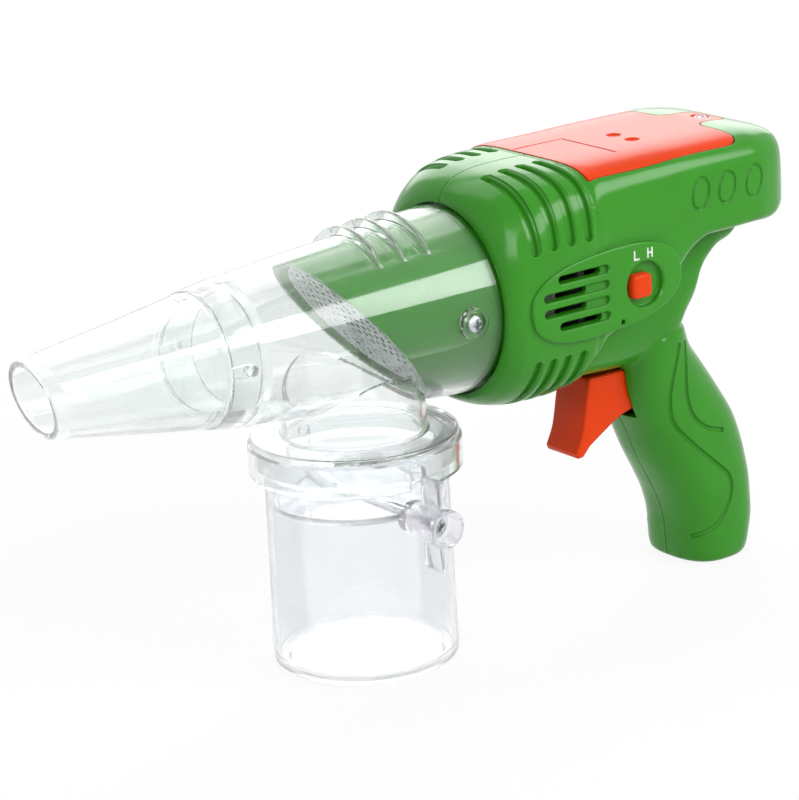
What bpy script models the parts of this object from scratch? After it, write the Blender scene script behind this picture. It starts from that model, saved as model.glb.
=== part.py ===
"""Hand-held bug vacuum: a clear suction barrel, a catch jar with a shutter, and a moulded pistol housing.

The pieces are drawn in millimetres and brought to metres by finish(). +Z is up, the origin is the
centre of the jar's flat underside, +X runs from the nozzle back to the grip, and -Y is the side with
the speed switch. The barrel's axis is parallel to X.
"""
import math

import bmesh
import bpy
from mathutils import Matrix, Vector

METRES = 0.001

# Fits shared by all pieces
GAP = 0.3
SPLIT_GAP = 0.3
WALL = 2.4
ROUND_STEPS = 36
HUB_STEPS = 20
SMALL_STEPS = 10

# Barrel: conical nozzle, conical catch tube, and the collar where they meet
AXIS_Z = 100.0
MOUTH_RADIUS = 11.3
MOUTH_TILT = math.radians(13.8)
NOZZLE_WALL = 1.6
NOZZLE_LENGTH = 51.5
COLLAR_X = -52.0
COLLAR_LENGTH = 9.5
COLLAR_WALL = 1.4
COLLAR_FLARE = 1.5
SPIGOT_RADIUS = 17.9
SPIGOT_LENGTH = 10.3
COLLAR_RADIUS = SPIGOT_RADIUS + GAP + COLLAR_WALL
COLLAR_REAR_RADIUS = COLLAR_RADIUS + COLLAR_FLARE
NOZZLE_REAR_RADIUS = COLLAR_RADIUS - 0.4
MOUTH_X = COLLAR_X - NOZZLE_LENGTH
TUBE_REAR_X = 34.2
TUBE_REAR_RADIUS = 28.0
TUBE_INSERT = 7.0
TUBE_WALL = 1.8
PEG_RADIUS = 1.3
PEG_HEIGHT = 1.0
PEG_BACK = 5.7
PEG_PLAY = 0.4
RIB_FIRST_X = 1.0
RIB_PITCH = 8.0
RIB_COUNT = 3
RIB_WIDTH = 1.4
RIB_HEIGHT = 2.7
RIB_SPREAD = math.radians(42.0)

# Jar socket under the tube, and the jar
JAR_RADIUS = 27.0
JAR_TAPER = 0.6
JAR_SHOULDER_RADIUS = JAR_RADIUS - JAR_TAPER
NECK_STEP = 6.0
NECK_RADIUS = JAR_RADIUS - NECK_STEP
NECK_WALL = 1.6
FLANGE_DROP = 31.6
FLANGE_TOP = AXIS_Z - FLANGE_DROP
FLANGE_THICKNESS = 2.0
SKIRT_STEP = 3.8
SKIRT_RADIUS = JAR_RADIUS + SKIRT_STEP
SKIRT_WALL = 2.2
SKIRT_HEIGHT = 11.2
SKIRT_LOW = FLANGE_TOP - SKIRT_HEIGHT
FLANGE_RADIUS = SKIRT_RADIUS - 0.9
JAR_WALL = 1.6
JAR_FLOOR = 2.0
JAR_EDGE = 1.2
JAR_PEG_RADIUS = 2.0
JAR_PEG_Z = SKIRT_LOW + 4.8

# Shutter: a disc on a cross shaft, turned by a winged knob
SHUTTER_DROP = 8.7
SHUTTER_Z = SKIRT_LOW - SHUTTER_DROP
SHUTTER_CLEARANCE = 0.45
SHUTTER_THICKNESS = 1.8
SHAFT_RADIUS = 2.2
BOSS_RADIUS = 4.9
BOSS_LENGTH = 2.2
KNOB_RADIUS = 4.6
KNOB_LENGTH = 7.6
CUP_RADIUS = KNOB_RADIUS + 1.0
CUP_WALL = 1.1
CUP_LENGTH = 6.0
KNOB_FLOOR = 1.2
WING_REACH = 13.5
WING_START = 2.5
WING_WIDTH = 9.0
WING_THICKNESS = 1.6

# Small screws
SCREW_HEAD_RADIUS = 2.5
SCREW_HEAD_HEIGHT = 1.6
SCREW_RADIUS = 1.1
SCREW_LENGTH = 6.0
CROSS_LENGTH = 2.8
CROSS_WIDTH = 0.7
CROSS_DEPTH = 0.9
TUBE_SCREW_X = TUBE_REAR_X - 10.2
TUBE_BOSS_RADIUS = 3.4
TUBE_BOSS_PROUD = 1.7

# Filter: a green holder cut off at a slant, with a net across it
HOLDER_WALL = 2.0
HOLDER_CUT = math.radians(43.8)
HOLDER_CUT_Z = AXIS_Z - 1.5
HOLDER_FLANGE = 2.4
NET_RECESS = 1.0
NET_THICKNESS = 0.8
NET_PITCH_LONG = 6.0
NET_PITCH_CROSS = 5.0
NET_STRAND = 0.8
NET_BORDER = 1.0

# Cells, their tray and their contacts, which set the size of the head
CELL_RADIUS = 7.15
CELL_LENGTH = 50.5
CELL_NUB_RADIUS = 2.7
CELL_NUB_LENGTH = 1.3
CELL_COUNT = 4
CELL_PITCH = 14.5
CONTACT_THICKNESS = 0.4
CONTACT_PAD_RADIUS = 2.6
CONTACT_PAD_HEIGHT = 0.4
TRAY_WALL = 1.0
TRAY_LIFT = 1.3
TRAY_HALF_WIDTH = CELL_LENGTH / 2 + CONTACT_PAD_HEIGHT + CONTACT_THICKNESS + 2 * GAP + TRAY_WALL

# Housing: the drum behind the tube, the battery head, the neck and the grip
BODY_FRONT = TUBE_REAR_X
DRUM_LENGTH = 31.3
DRUM_CROWN = 9.0
DRUM_BELLY = 5.5
HEAD_STEP = 1.6
HEAD_MARGIN = 1.65
HEAD_HALF_WIDTH = TRAY_HALF_WIDTH + WALL + HEAD_MARGIN
DRUM_HALF_WIDTH = HEAD_HALF_WIDTH + HEAD_STEP
DRUM_LOW = AXIS_Z - TUBE_REAR_RADIUS - DRUM_BELLY
BODY_TOP = AXIS_Z + TUBE_REAR_RADIUS + DRUM_CROWN
GROOVE_X = BODY_FRONT + DRUM_LENGTH
GROOVE_DEPTH = 0.9
HEAD_DEPTH = 28.5
COVER_FRONT = GROOVE_X + 1.2
COVER_LENGTH = CELL_COUNT * CELL_PITCH - 0.5
TAB_LENGTH = 13.5
TAB_MARGIN = 10.3
BODY_REAR = COVER_FRONT + COVER_LENGTH + TAB_LENGTH + TAB_MARGIN
HEAD_LENGTH = BODY_REAR - GROOVE_X
HEAD_LOW = BODY_TOP - HEAD_DEPTH
HEAD_MIDDLE = HEAD_LOW + 5.0
SEAT_WALL = 2.0
SEAT_WALL_X = TUBE_REAR_X + TUBE_INSERT + HOLDER_FLANGE + 2 * GAP
SEAT_BORE = TUBE_REAR_RADIUS - 4.0
GRIP_HALF_WIDTH = 16.0
GRIP_DEPTH = 32.0
GRIP_X = GROOVE_X + 0.60606 * HEAD_LENGTH
NECK_HALF_WIDTH = GRIP_HALF_WIDTH + 1.5
NECK_LOW = DRUM_LOW + 1.0
GRIP_TOP = NECK_LOW + 11.5
CROWN_POWER = 6.0
NECK_POWER = 3.0
GRIP_POWER = 2.6
NECK_BEND = 0.55
BODY_STEPS = 36
GRIP_STEPS = 20
INNER_STEPS = 16

# Side panel with the air slots and the speed switch
PANEL_X = GROOVE_X + 2.2
PANEL_Z = AXIS_Z + 1.5
PANEL_HALF_LENGTH = 27.7
PANEL_HALF_HEIGHT = 12.2
PANEL_FACE = DRUM_HALF_WIDTH + 0.9
PANEL_TILT = math.radians(4.0)
PANEL_POWER = 2.5
PANEL_STEPS = 32
SLOT_COUNT = 4
SLOT_PITCH = 4.6
SLOT_HEIGHT = 2.4
SLOT_REAR_X = PANEL_X + 0.5
SLOT_OPEN = 16.0
SLOT_LONG = 23.8
SLOT_SHORT = 18.4
SLOT_SHALLOW = 1.2
CORNER_SLOTS = 4
UPPER_SLOT_X = BODY_FRONT + 9.2
UPPER_SLOT_PITCH = 6.3
LOWER_SLOT_X = BODY_FRONT + 9.8
LOWER_SLOT_PITCH = 5.4
CORNER_SLOT_WIDTH = 2.6
CORNER_SLOT_DEPTH = 1.5
UPPER_SLOT_ARC = (math.radians(25.0), math.radians(75.0))
LOWER_SLOT_ARC = (math.radians(-70.0), math.radians(-26.0))

# Battery cover and what lies under it
COVER_HALF_WIDTH = HEAD_HALF_WIDTH - 3.7
COVER_THICKNESS = 2.2
TAB_HALF_WIDTH = 7.5
COVER_EDGE = 6.0
COVER_SCREW_BACK = 4.2
COVER_SCREW_LENGTH = 5.0
COVER_SCREW_PLAY = 0.9
TAB_BOSS_RADIUS = 3.6
TAB_BOSS_DEPTH = 2.0

# Motor and impeller
IMPELLER_GAP = 1.8
IMPELLER_FRONT = SEAT_WALL_X + SEAT_WALL + IMPELLER_GAP
IMPELLER_DEPTH = 10.0
IMPELLER_RADIUS = SEAT_BORE - 2.0
IMPELLER_PLATE = 1.4
IMPELLER_HUB = 4.0
BLADE_COUNT = 8
BLADE_THICKNESS = 1.2
BLADE_SWEEP = math.radians(38.0)
MOUNT_PLATE = 2.4
MOUNT_GAP = 1.6
MOUNT_CUP = 4.0
MOUNT_CUP_WALL = 1.8
MOTOR_CLEARANCE = 1.0
MOTOR_RADIUS = HEAD_LOW + WALL + TRAY_LIFT - MOTOR_CLEARANCE - AXIS_Z
MOTOR_LENGTH = 30.0
MOTOR_NOSE_RADIUS = 3.2
MOTOR_SHAFT_RADIUS = 1.0
SHAFT_IN_MOTOR = 5.0

# Trigger, its spring and its switch
TRIGGER_HALF_WIDTH = 7.5
TRIGGER_TRAVEL = 6.0
TRIGGER_TAIL_X = GROOVE_X + 0.40606 * HEAD_LENGTH
TRIGGER_TOP = NECK_LOW - 0.7
TRIGGER_REACH = 24.0
TRIGGER_DROP = 24.0
SPRING_Z = TRIGGER_TOP - 0.2 * TRIGGER_DROP
SPRING_RADIUS = 2.8
SPRING_WIRE = 0.35
SPRING_TURNS = 6
SPRING_LENGTH = 13.0
SPRING_RIB = 2.0
TRIGGER_SWITCH_SIZE = (5.0, 6.0, 9.0)

# Speed button on the panel
SWITCH_X = PANEL_X + 0.50181 * PANEL_HALF_LENGTH
SWITCH_Z = PANEL_Z - 0.5
SWITCH_RECESS_RADIUS = 6.7
SWITCH_RECESS_DEPTH = 2.0
BUTTON_SIZE = 7.2
BUTTON_PROUD = 1.4
BUTTON_TRAVEL = 4.0
BUTTON_STEM = 3.0
SWITCH_SEAT = 1.2
SWITCH_BODY = (13.0, 5.0, 7.0)

# Housing screws, driven from the +Y side: places along X and Z
HOUSING_SCREWS = (
    (GROOVE_X - 12.5, BODY_TOP - 8.5),
    (GROOVE_X + 0.1, DRUM_LOW + 10.0),
    (BODY_REAR - 9.0, HEAD_MIDDLE + 4.0),
    (GRIP_X + 0.109 * GRIP_DEPTH, 0.582 * GRIP_TOP),
    (GRIP_X + 0.328 * GRIP_DEPTH, 0.165 * GRIP_TOP),
)
HOUSING_SCREW_HEAD_Y = 8.0
HOUSING_SCREW_LENGTH = 15.0
HOUSING_BOSS_RADIUS = 4.2


# Scene helpers

def clear_scene():
    for obj in list(bpy.data.objects):
        bpy.data.objects.remove(obj, do_unlink=True)


def make_material(name, colour, roughness, metallic=0.0, transmission=0.0):
    material = bpy.data.materials.new(name)
    material.use_nodes = True
    shader = material.node_tree.nodes["Principled BSDF"]
    shader.inputs["Base Color"].default_value = (*colour, 1.0)
    shader.inputs["Roughness"].default_value = roughness
    shader.inputs["Metallic"].default_value = metallic
    shader.inputs["Transmission Weight"].default_value = transmission
    material.diffuse_color = (*colour, 1.0 - 0.7 * transmission)
    return material


def add_object(name, bm):
    """Object from a bmesh, with its faces pointing out."""
    bmesh.ops.recalc_face_normals(bm, faces=bm.faces)
    mesh = bpy.data.meshes.new(name)
    bm.to_mesh(mesh)
    bm.free()
    obj = bpy.data.objects.new(name, mesh)
    bpy.context.scene.collection.objects.link(obj)
    return obj


def merge_flat_faces(mesh):
    """Join the small faces that a Boolean leaves on a flat, where the piece stays closed."""
    bm = bmesh.new()
    bm.from_mesh(mesh)
    bmesh.ops.dissolve_limit(
        bm, angle_limit=math.radians(0.3), verts=bm.verts, edges=bm.edges, use_dissolve_boundaries=False,
    )
    bmesh.ops.triangulate(bm, faces=[face for face in bm.faces if len(face.verts) > 4])
    if all(edge.is_manifold for edge in bm.edges):
        bm.to_mesh(mesh)
    bm.free()


def finish(obj, material, origin=(0.0, 0.0, 0.0), smooth=32.0):
    """Give a finished piece its material, its shading and its origin."""
    mesh = obj.data
    merge_flat_faces(mesh)
    mesh.materials.clear()
    mesh.materials.append(material)
    mesh.shade_smooth()
    mesh.set_sharp_from_angle(angle=math.radians(smooth))
    mesh.transform(Matrix.Scale(METRES, 4) @ Matrix.Translation(-Vector(origin)))
    obj.location = Vector(origin) * METRES
    return obj


def is_closed(mesh):
    bm = bmesh.new()
    bm.from_mesh(mesh)
    closed = all(edge.is_manifold for edge in bm.edges)
    bm.free()
    return closed


def combine(obj, tool, operation="DIFFERENCE"):
    """Boolean of two objects, applied. MANIFOLD steps in where EXACT leaves the result open."""
    modifier = obj.modifiers.new("combine", "BOOLEAN")
    modifier.object = tool
    modifier.operation = operation
    for solver in ("EXACT", "MANIFOLD"):
        modifier.solver = solver
        bpy.context.view_layer.update()
        graph = bpy.context.evaluated_depsgraph_get()
        mesh = bpy.data.meshes.new_from_object(obj.evaluated_get(graph))
        if is_closed(mesh):
            break
    obj.modifiers.clear()
    obj.data = mesh
    bpy.data.objects.remove(tool, do_unlink=True)
    return obj


def copy_of(obj):
    twin = obj.copy()
    twin.data = obj.data.copy()
    bpy.context.scene.collection.objects.link(twin)
    return twin


# Shape helpers

AXIS_TURN = {
    "X": Matrix.Rotation(math.pi / 2, 4, "Y"),
    "Y": Matrix.Rotation(-math.pi / 2, 4, "X"),
    "Z": Matrix.Identity(4),
}


def lathe(name, profile, axis="Z", centre=(0.0, 0.0, 0.0), steps=ROUND_STEPS):
    """Turned piece. The profile is (radius, height) points; it closes on the axis or on itself.

    It starts half a step round, so that no edge lies in a plane of symmetry where cuts would meet it.
    """
    bm = bmesh.new()
    c = math.cos(math.pi / steps)
    s = math.sin(math.pi / steps)
    verts = [bm.verts.new((radius * c, radius * s, height)) for radius, height in profile]
    edges = [bm.edges.new(pair) for pair in zip(verts, verts[1:])]
    if profile[0][0] > 0.0:
        edges.append(bm.edges.new((verts[-1], verts[0])))
    bmesh.ops.spin(
        bm, geom=verts + edges, cent=(0, 0, 0), axis=(0, 0, 1),
        angle=2 * math.pi, steps=steps, use_merge=True,
    )
    bmesh.ops.remove_doubles(bm, verts=bm.verts, dist=1e-4)
    bm.transform(Matrix.Translation(centre) @ AXIS_TURN[axis])
    return add_object(name, bm)


def rod(name, radius, low, high, axis="Z", centre=(0.0, 0.0, 0.0), steps=SMALL_STEPS):
    return lathe(name, [(0.0, low), (radius, low), (radius, high), (0.0, high)], axis, centre, steps)


def prism(name, outline, axis, low, high):
    """Outline extruded along an axis. The outline's two numbers are the other axes in X, Y, Z order."""
    place = {
        "X": lambda a, b, h: (h, a, b),
        "Y": lambda a, b, h: (a, h, b),
        "Z": lambda a, b, h: (a, b, h),
    }[axis]
    bm = bmesh.new()
    face = bm.faces.new([bm.verts.new(place(a, b, low)) for a, b in outline])
    grown = bmesh.ops.extrude_face_region(bm, geom=[face])
    moved = [item for item in grown["geom"] if isinstance(item, bmesh.types.BMVert)]
    bmesh.ops.translate(bm, verts=moved, vec=Vector(place(0.0, 0.0, high - low)))
    return add_object(name, bm)


def box(name, low, high):
    outline = [(low[0], low[1]), (high[0], low[1]), (high[0], high[1]), (low[0], high[1])]
    return prism(name, outline, "Z", low[2], high[2])


def loft(name, rings):
    """Skin through rings of equal count, with flat ends."""
    bm = bmesh.new()
    rows = [[bm.verts.new(point) for point in ring] for ring in rings]
    count = len(rows[0])
    for row, after in zip(rows, rows[1:]):
        for i in range(count):
            j = (i + 1) % count
            bm.faces.new((row[i], row[j], after[j], after[i]))
    bm.faces.new(rows[0])
    bm.faces.new(rows[-1])
    return add_object(name, bm)


def bevel_edges(obj, width, segments, angle=40.0):
    """Round the edges that are sharper than the angle."""
    bm = bmesh.new()
    bm.from_mesh(obj.data)
    sharp = [e for e in bm.edges if e.is_manifold and e.calc_face_angle() > math.radians(angle)]
    bmesh.ops.bevel(
        bm, geom=sharp, offset=width, segments=segments, profile=0.5,
        affect="EDGES", clamp_overlap=True,
    )
    bm.to_mesh(obj.data)
    bm.free()
    return obj


def power_point(angle, half_a, half_b, power):
    """Point of a superellipse, a rounded rectangle whose corners tighten with the power."""
    c = math.cos(angle)
    s = math.sin(angle)
    return (
        half_a * math.copysign(abs(c) ** (2 / power), c),
        half_b * math.copysign(abs(s) ** (2 / power), s),
    )


def power_outline(half_a, half_b, power, count, centre=(0.0, 0.0), tilt=0.0):
    points = []
    for i in range(count):
        a, b = power_point(2 * math.pi * i / count, half_a, half_b, power)
        points.append((
            centre[0] + a * math.cos(tilt) - b * math.sin(tilt),
            centre[1] + a * math.sin(tilt) + b * math.cos(tilt),
        ))
    return points


def stadium(low, high, level, height, count=4):
    """Slot outline with round ends, running from low to high along its first axis."""
    radius = height / 2
    points = []
    for end, start in ((high - radius, -math.pi / 2), (low + radius, math.pi / 2)):
        for i in range(count + 1):
            angle = start + math.pi * i / count
            points.append((end + radius * math.cos(angle), level + radius * math.sin(angle)))
    return points


def between(value, rows):
    """Straight-line reading of a table whose first column rises."""
    for before, after in zip(rows, rows[1:]):
        if value <= after[0]:
            break
    share = (value - before[0]) / (after[0] - before[0])
    return [b + (a - b) * share for b, a in zip(before, after)]


# Barrel

def tube_radius(x):
    """Outer radius of the conical tube at x."""
    rows = (
        (COLLAR_X, COLLAR_RADIUS),
        (COLLAR_X + COLLAR_LENGTH, COLLAR_REAR_RADIUS),
        (TUBE_REAR_X, TUBE_REAR_RADIUS),
        (TUBE_REAR_X + TUBE_INSERT, TUBE_REAR_RADIUS),
    )
    return between(x, rows)[1]


def build_nozzle(material):
    """Cone with a slanted mouth, a spigot for the collar and two locking pegs."""
    rear = COLLAR_X - GAP
    spigot_end = COLLAR_X + SPIGOT_LENGTH
    reach = MOUTH_RADIUS * math.tan(MOUTH_TILT) + NOZZLE_WALL
    slope = (NOZZLE_REAR_RADIUS - MOUTH_RADIUS) / (rear - MOUTH_X)
    tip = MOUTH_X - reach
    tip_radius = MOUTH_RADIUS - slope * reach
    profile = [
        (tip_radius, tip),
        (NOZZLE_REAR_RADIUS, rear),
        (SPIGOT_RADIUS, rear),
        (SPIGOT_RADIUS, spigot_end),
        (SPIGOT_RADIUS - NOZZLE_WALL, spigot_end),
        (tip_radius - NOZZLE_WALL, tip),
    ]
    centre = (0.0, 0.0, AXIS_Z)
    nozzle = lathe("nozzle", profile, "X", centre)
    size = 4 * MOUTH_RADIUS
    cutter = box("mouth_cut", (-size, -size, -size), (0.0, size, size))
    cutter.data.transform(Matrix.Translation((MOUTH_X, 0.0, AXIS_Z)) @ Matrix.Rotation(-MOUTH_TILT, 4, "Y"))
    combine(nozzle, cutter)
    for side in (-1, 1):
        inner = SPIGOT_RADIUS - NOZZLE_WALL / 2
        ends = sorted((side * inner, side * (SPIGOT_RADIUS + PEG_HEIGHT)))
        peg = rod("peg", PEG_RADIUS, *ends, "Y", (COLLAR_X + PEG_BACK, 0.0, AXIS_Z))
        combine(nozzle, peg, "UNION")
    return finish(nozzle, material, (COLLAR_X, 0.0, AXIS_Z))


def collar_bore():
    return SPIGOT_RADIUS + GAP


def build_tube(material):
    """Conical tube with a saddle neck and a skirted socket for the jar."""
    centre = (0.0, 0.0, AXIS_Z)
    rear = TUBE_REAR_X + TUBE_INSERT
    collar_end = COLLAR_X + COLLAR_LENGTH
    outer = [(tube_radius(x), x) for x in (COLLAR_X, collar_end, TUBE_REAR_X, rear)]
    tube = lathe("catch_tube", [(0.0, COLLAR_X), *outer, (0.0, rear)], "X", centre)
    combine(tube, socket_solid(), "UNION")
    add_tube_ribs(tube)
    bore_end = COLLAR_X + SPIGOT_LENGTH + GAP
    front = 2 * COLLAR_X
    combine(tube, lathe("hollow", [
        (0.0, front),
        (collar_bore(), front),
        (collar_bore(), bore_end),
        (tube_radius(bore_end + TUBE_WALL) - TUBE_WALL, bore_end + TUBE_WALL),
        (tube_radius(TUBE_REAR_X) - TUBE_WALL, TUBE_REAR_X),
        (tube_radius(TUBE_REAR_X) - TUBE_WALL, 2 * rear),
        (0.0, 2 * rear),
    ], "X", centre))
    combine(tube, socket_hollow())
    for side in (-1, 1):
        add_tube_boss(tube, side)
        cut_peg_seats(tube, side)
    return finish(tube, material)


def socket_solid():
    """Neck, flange and skirt under the tube, without their hollows."""
    edge = FLANGE_THICKNESS / 3
    flange_low = FLANGE_TOP - FLANGE_THICKNESS
    return lathe("socket", [
        (0.0, AXIS_Z),
        (NECK_RADIUS, AXIS_Z),
        (NECK_RADIUS, FLANGE_TOP + edge),
        (NECK_RADIUS + edge, FLANGE_TOP),
        (FLANGE_RADIUS - edge, FLANGE_TOP),
        (FLANGE_RADIUS, FLANGE_TOP - edge),
        (FLANGE_RADIUS, flange_low + edge / 2),
        (SKIRT_RADIUS, flange_low - edge / 2),
        (SKIRT_RADIUS, SKIRT_LOW),
        (0.0, SKIRT_LOW),
    ])


def socket_hollow():
    """Bore of the neck and the wider room for the jar's rim."""
    neck_bore = NECK_RADIUS - NECK_WALL
    rim_room = SKIRT_RADIUS - SKIRT_WALL
    flange_low = FLANGE_TOP - FLANGE_THICKNESS
    return lathe("socket_hollow", [
        (0.0, AXIS_Z),
        (neck_bore, AXIS_Z),
        (neck_bore, flange_low),
        (rim_room, flange_low),
        (rim_room, 0.0),
        (0.0, 0.0),
    ])


def add_tube_ribs(tube):
    """Three finger ribs over the top, tallest in the middle."""
    for i in range(RIB_COUNT):
        x = RIB_FIRST_X + i * RIB_PITCH
        radius = tube_radius(x - RIB_WIDTH / 2)
        count = 8
        top = []
        for j in range(count + 1):
            share = 2 * j / count - 1
            angle = share * RIB_SPREAD
            reach = radius + RIB_HEIGHT * (1 - 0.75 * share ** 2)
            top.append((reach * math.sin(angle), AXIS_Z + reach * math.cos(angle)))
        base = radius - TUBE_WALL / 2
        foot = []
        for j in range(count + 1):
            angle = (1 - 2 * j / count) * RIB_SPREAD
            foot.append((base * math.sin(angle), AXIS_Z + base * math.cos(angle)))
        combine(tube, prism("rib", top + foot, "X", x - RIB_WIDTH / 2, x + RIB_WIDTH / 2), "UNION")


def tube_boss_face():
    return tube_radius(TUBE_SCREW_X) + TUBE_BOSS_PROUD


def add_tube_boss(tube, side):
    """Round screw boss on the tube's flank, counterbored for the screw's head."""
    centre = (TUBE_SCREW_X, 0.0, AXIS_Z)
    face = tube_boss_face()
    wall_middle = tube_radius(TUBE_SCREW_X) - TUBE_WALL / 2
    seat = face - SCREW_HEAD_HEIGHT

    def along(near, far):
        return sorted((side * near, side * far))

    combine(tube, rod("boss", TUBE_BOSS_RADIUS, *along(wall_middle, face), "Y", centre), "UNION")
    combine(tube, screw_well(side * face / 2, side * seat, side * 2 * face, "Y", centre))


def cut_peg_seats(tube, side):
    """Guide grooves and snap holes for the nozzle's and the jar's pegs."""
    outer = 2 * SKIRT_RADIUS
    nozzle_peg_x = COLLAR_X + PEG_BACK
    bore = collar_bore()
    half = PEG_RADIUS + PEG_PLAY
    floor = sorted((side * bore / 2, side * (SPIGOT_RADIUS + PEG_HEIGHT + PEG_PLAY)))
    low = (2 * COLLAR_X - nozzle_peg_x, floor[0], AXIS_Z - half)
    combine(tube, box("guide", low, (nozzle_peg_x, floor[1], AXIS_Z + half)))
    ends = sorted((side * bore / 2, side * outer))
    combine(tube, rod("snap_hole", half, *ends, "Y", (nozzle_peg_x, 0.0, AXIS_Z)))
    half = JAR_PEG_RADIUS + PEG_PLAY
    band = jar_band_radius()
    floor = sorted((side * (band - JAR_WALL), side * (band + PEG_HEIGHT + PEG_PLAY)))
    combine(tube, box("guide", (-half, floor[0], 0.0), (half, floor[1], JAR_PEG_Z)))
    ends = sorted((side * (band - JAR_WALL), side * outer))
    combine(tube, rod("snap_hole", half, *ends, "Y", (0.0, 0.0, JAR_PEG_Z)))


def screw(name, material, axis, head_seat, outward, centre, length=SCREW_LENGTH):
    """Pan-head cross screw. head_seat is where the head's underside lies along the axis."""
    tip = head_seat - outward * length
    top = head_seat + outward * SCREW_HEAD_HEIGHT
    dome = head_seat + outward * SCREW_HEAD_HEIGHT * 0.6
    piece = lathe(name, [
        (0.0, tip),
        (SCREW_RADIUS * 0.6, tip),
        (SCREW_RADIUS, tip + outward * SCREW_RADIUS),
        (SCREW_RADIUS, head_seat),
        (SCREW_HEAD_RADIUS, head_seat),
        (SCREW_HEAD_RADIUS, dome),
        (SCREW_HEAD_RADIUS * 0.75, top),
        (0.0, top),
    ], axis, centre, SMALL_STEPS)
    floor = top - outward * CROSS_DEPTH
    for turned in (False, True):
        half = (CROSS_LENGTH / 2, CROSS_WIDTH / 2)
        if turned:
            half = half[::-1]
        a, b = {"Y": (centre[0], centre[2]), "Z": (centre[0], centre[1])}[axis]
        outline = [
            (a - half[0], b - half[1]),
            (a + half[0], b - half[1]),
            (a + half[0], b + half[1]),
            (a - half[0], b + half[1]),
        ]
        ends = sorted((floor, top + outward * CROSS_DEPTH))
        combine(piece, prism("cross", outline, axis, *ends))
    return finish(piece, material)


def screw_well(tip, seat, mouth, axis, centre):
    """Cutter for a screw: a hole for the shank and a wider sink for the head."""
    shank = SCREW_RADIUS + GAP
    head = SCREW_HEAD_RADIUS + GAP
    profile = [(0.0, tip), (shank, tip), (shank, seat), (head, seat), (head, mouth), (0.0, mouth)]
    return lathe("screw_well", profile, axis, centre, SMALL_STEPS)


def build_tube_screws(material):
    seat = tube_boss_face() - SCREW_HEAD_HEIGHT + GAP
    for name, side in (("tube_screw_left", -1), ("tube_screw_right", 1)):
        screw(name, material, "Y", side * seat, side, (TUBE_SCREW_X, 0.0, AXIS_Z))


# Filter

def holder_radius(x):
    return tube_radius(x) - TUBE_WALL - GAP


def slant():
    """Frame of the holder's slanted face: first axis down the slope, third axis back and up."""
    c = math.cos(HOLDER_CUT)
    s = math.sin(HOLDER_CUT)
    frame = Matrix(((c, 0.0, s, 0.0), (0.0, 1.0, 0.0, 0.0), (-s, 0.0, c, 0.0), (0.0, 0.0, 0.0, 1.0)))
    return Matrix.Translation((0.0, 0.0, HOLDER_CUT_Z)) @ frame


def build_filter_holder(material):
    """Tapered sleeve inside the tube, cut off at a slant, with a flange behind the tube's end."""
    front = COLLAR_X + SPIGOT_LENGTH + 2 * TUBE_WALL
    tube_end = TUBE_REAR_X + TUBE_INSERT
    flange_front = tube_end + GAP
    flange_rear = flange_front + HOLDER_FLANGE
    outer = [(holder_radius(x), x) for x in (front, TUBE_REAR_X)]
    outer += [(holder_radius(TUBE_REAR_X), flange_front), (TUBE_REAR_RADIUS, flange_front)]
    outer += [(TUBE_REAR_RADIUS, flange_rear)]
    inner = [
        (holder_radius(TUBE_REAR_X) - HOLDER_WALL, flange_rear),
        (holder_radius(TUBE_REAR_X) - HOLDER_WALL, TUBE_REAR_X),
        (holder_radius(front) - HOLDER_WALL, front),
    ]
    holder = lathe("filter_holder", outer + inner, "X", (0.0, 0.0, AXIS_Z))
    size = 6 * TUBE_REAR_RADIUS
    cutter = box("slant_cut", (-size, -size, -size), (size, size, 0.0))
    cutter.data.transform(slant())
    combine(holder, cutter)
    reach = 2 * TUBE_REAR_RADIUS
    combine(holder, rod("screw_holes", SCREW_RADIUS + GAP, -reach, reach, "Y", (TUBE_SCREW_X, 0.0, AXIS_Z)))
    return finish(holder, material)


def net_limit(x):
    return holder_radius(x) - HOLDER_WALL - GAP


def build_net(material):
    """Flat net across the slanted nose: an oval plate with diamond gaps."""
    size = 3 * TUBE_REAR_RADIUS
    net = box("filter_mesh", (-size, -size, NET_RECESS), (size, size, NET_RECESS + NET_THICKNESS))
    net.data.transform(slant())
    front = COLLAR_X + SPIGOT_LENGTH + 2 * TUBE_WALL
    combine(net, lathe("net_edge", [
        (0.0, front),
        (net_limit(front), front),
        (net_limit(TUBE_REAR_X), TUBE_REAR_X),
        (0.0, TUBE_REAR_X),
    ], "X", (0.0, 0.0, AXIS_Z)), "INTERSECT")
    bm = bmesh.new()
    half_long = (NET_PITCH_LONG - NET_STRAND * math.sqrt(2)) / 2
    half_cross = (NET_PITCH_CROSS - NET_STRAND * math.sqrt(2)) / 2
    rows = int(size / NET_PITCH_LONG)
    for i in range(-2 * rows, 2 * rows + 1):
        for j in range(-rows, rows + 1):
            u = i * NET_PITCH_LONG / 2
            v = j * NET_PITCH_CROSS + (i % 2) * NET_PITCH_CROSS / 2
            corners = [(u - half_long, v), (u, v - half_cross), (u + half_long, v), (u, v + half_cross)]
            if all(inside_net(a, b) for a, b in corners):
                add_gap(bm, corners)
    bm.transform(slant())
    combine(net, add_object("net_gaps", bm))
    return finish(net, material)


def inside_net(u, v):
    point = slant() @ Vector((u, v, NET_RECESS))
    return math.hypot(point.y, point.z - AXIS_Z) < net_limit(point.x) - NET_BORDER


def add_gap(bm, corners):
    face = bm.faces.new([bm.verts.new((u, v, NET_RECESS - NET_THICKNESS)) for u, v in corners])
    grown = bmesh.ops.extrude_face_region(bm, geom=[face])
    moved = [item for item in grown["geom"] if isinstance(item, bmesh.types.BMVert)]
    bmesh.ops.translate(bm, verts=moved, vec=(0.0, 0.0, 3 * NET_THICKNESS))


# Jar and shutter

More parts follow.
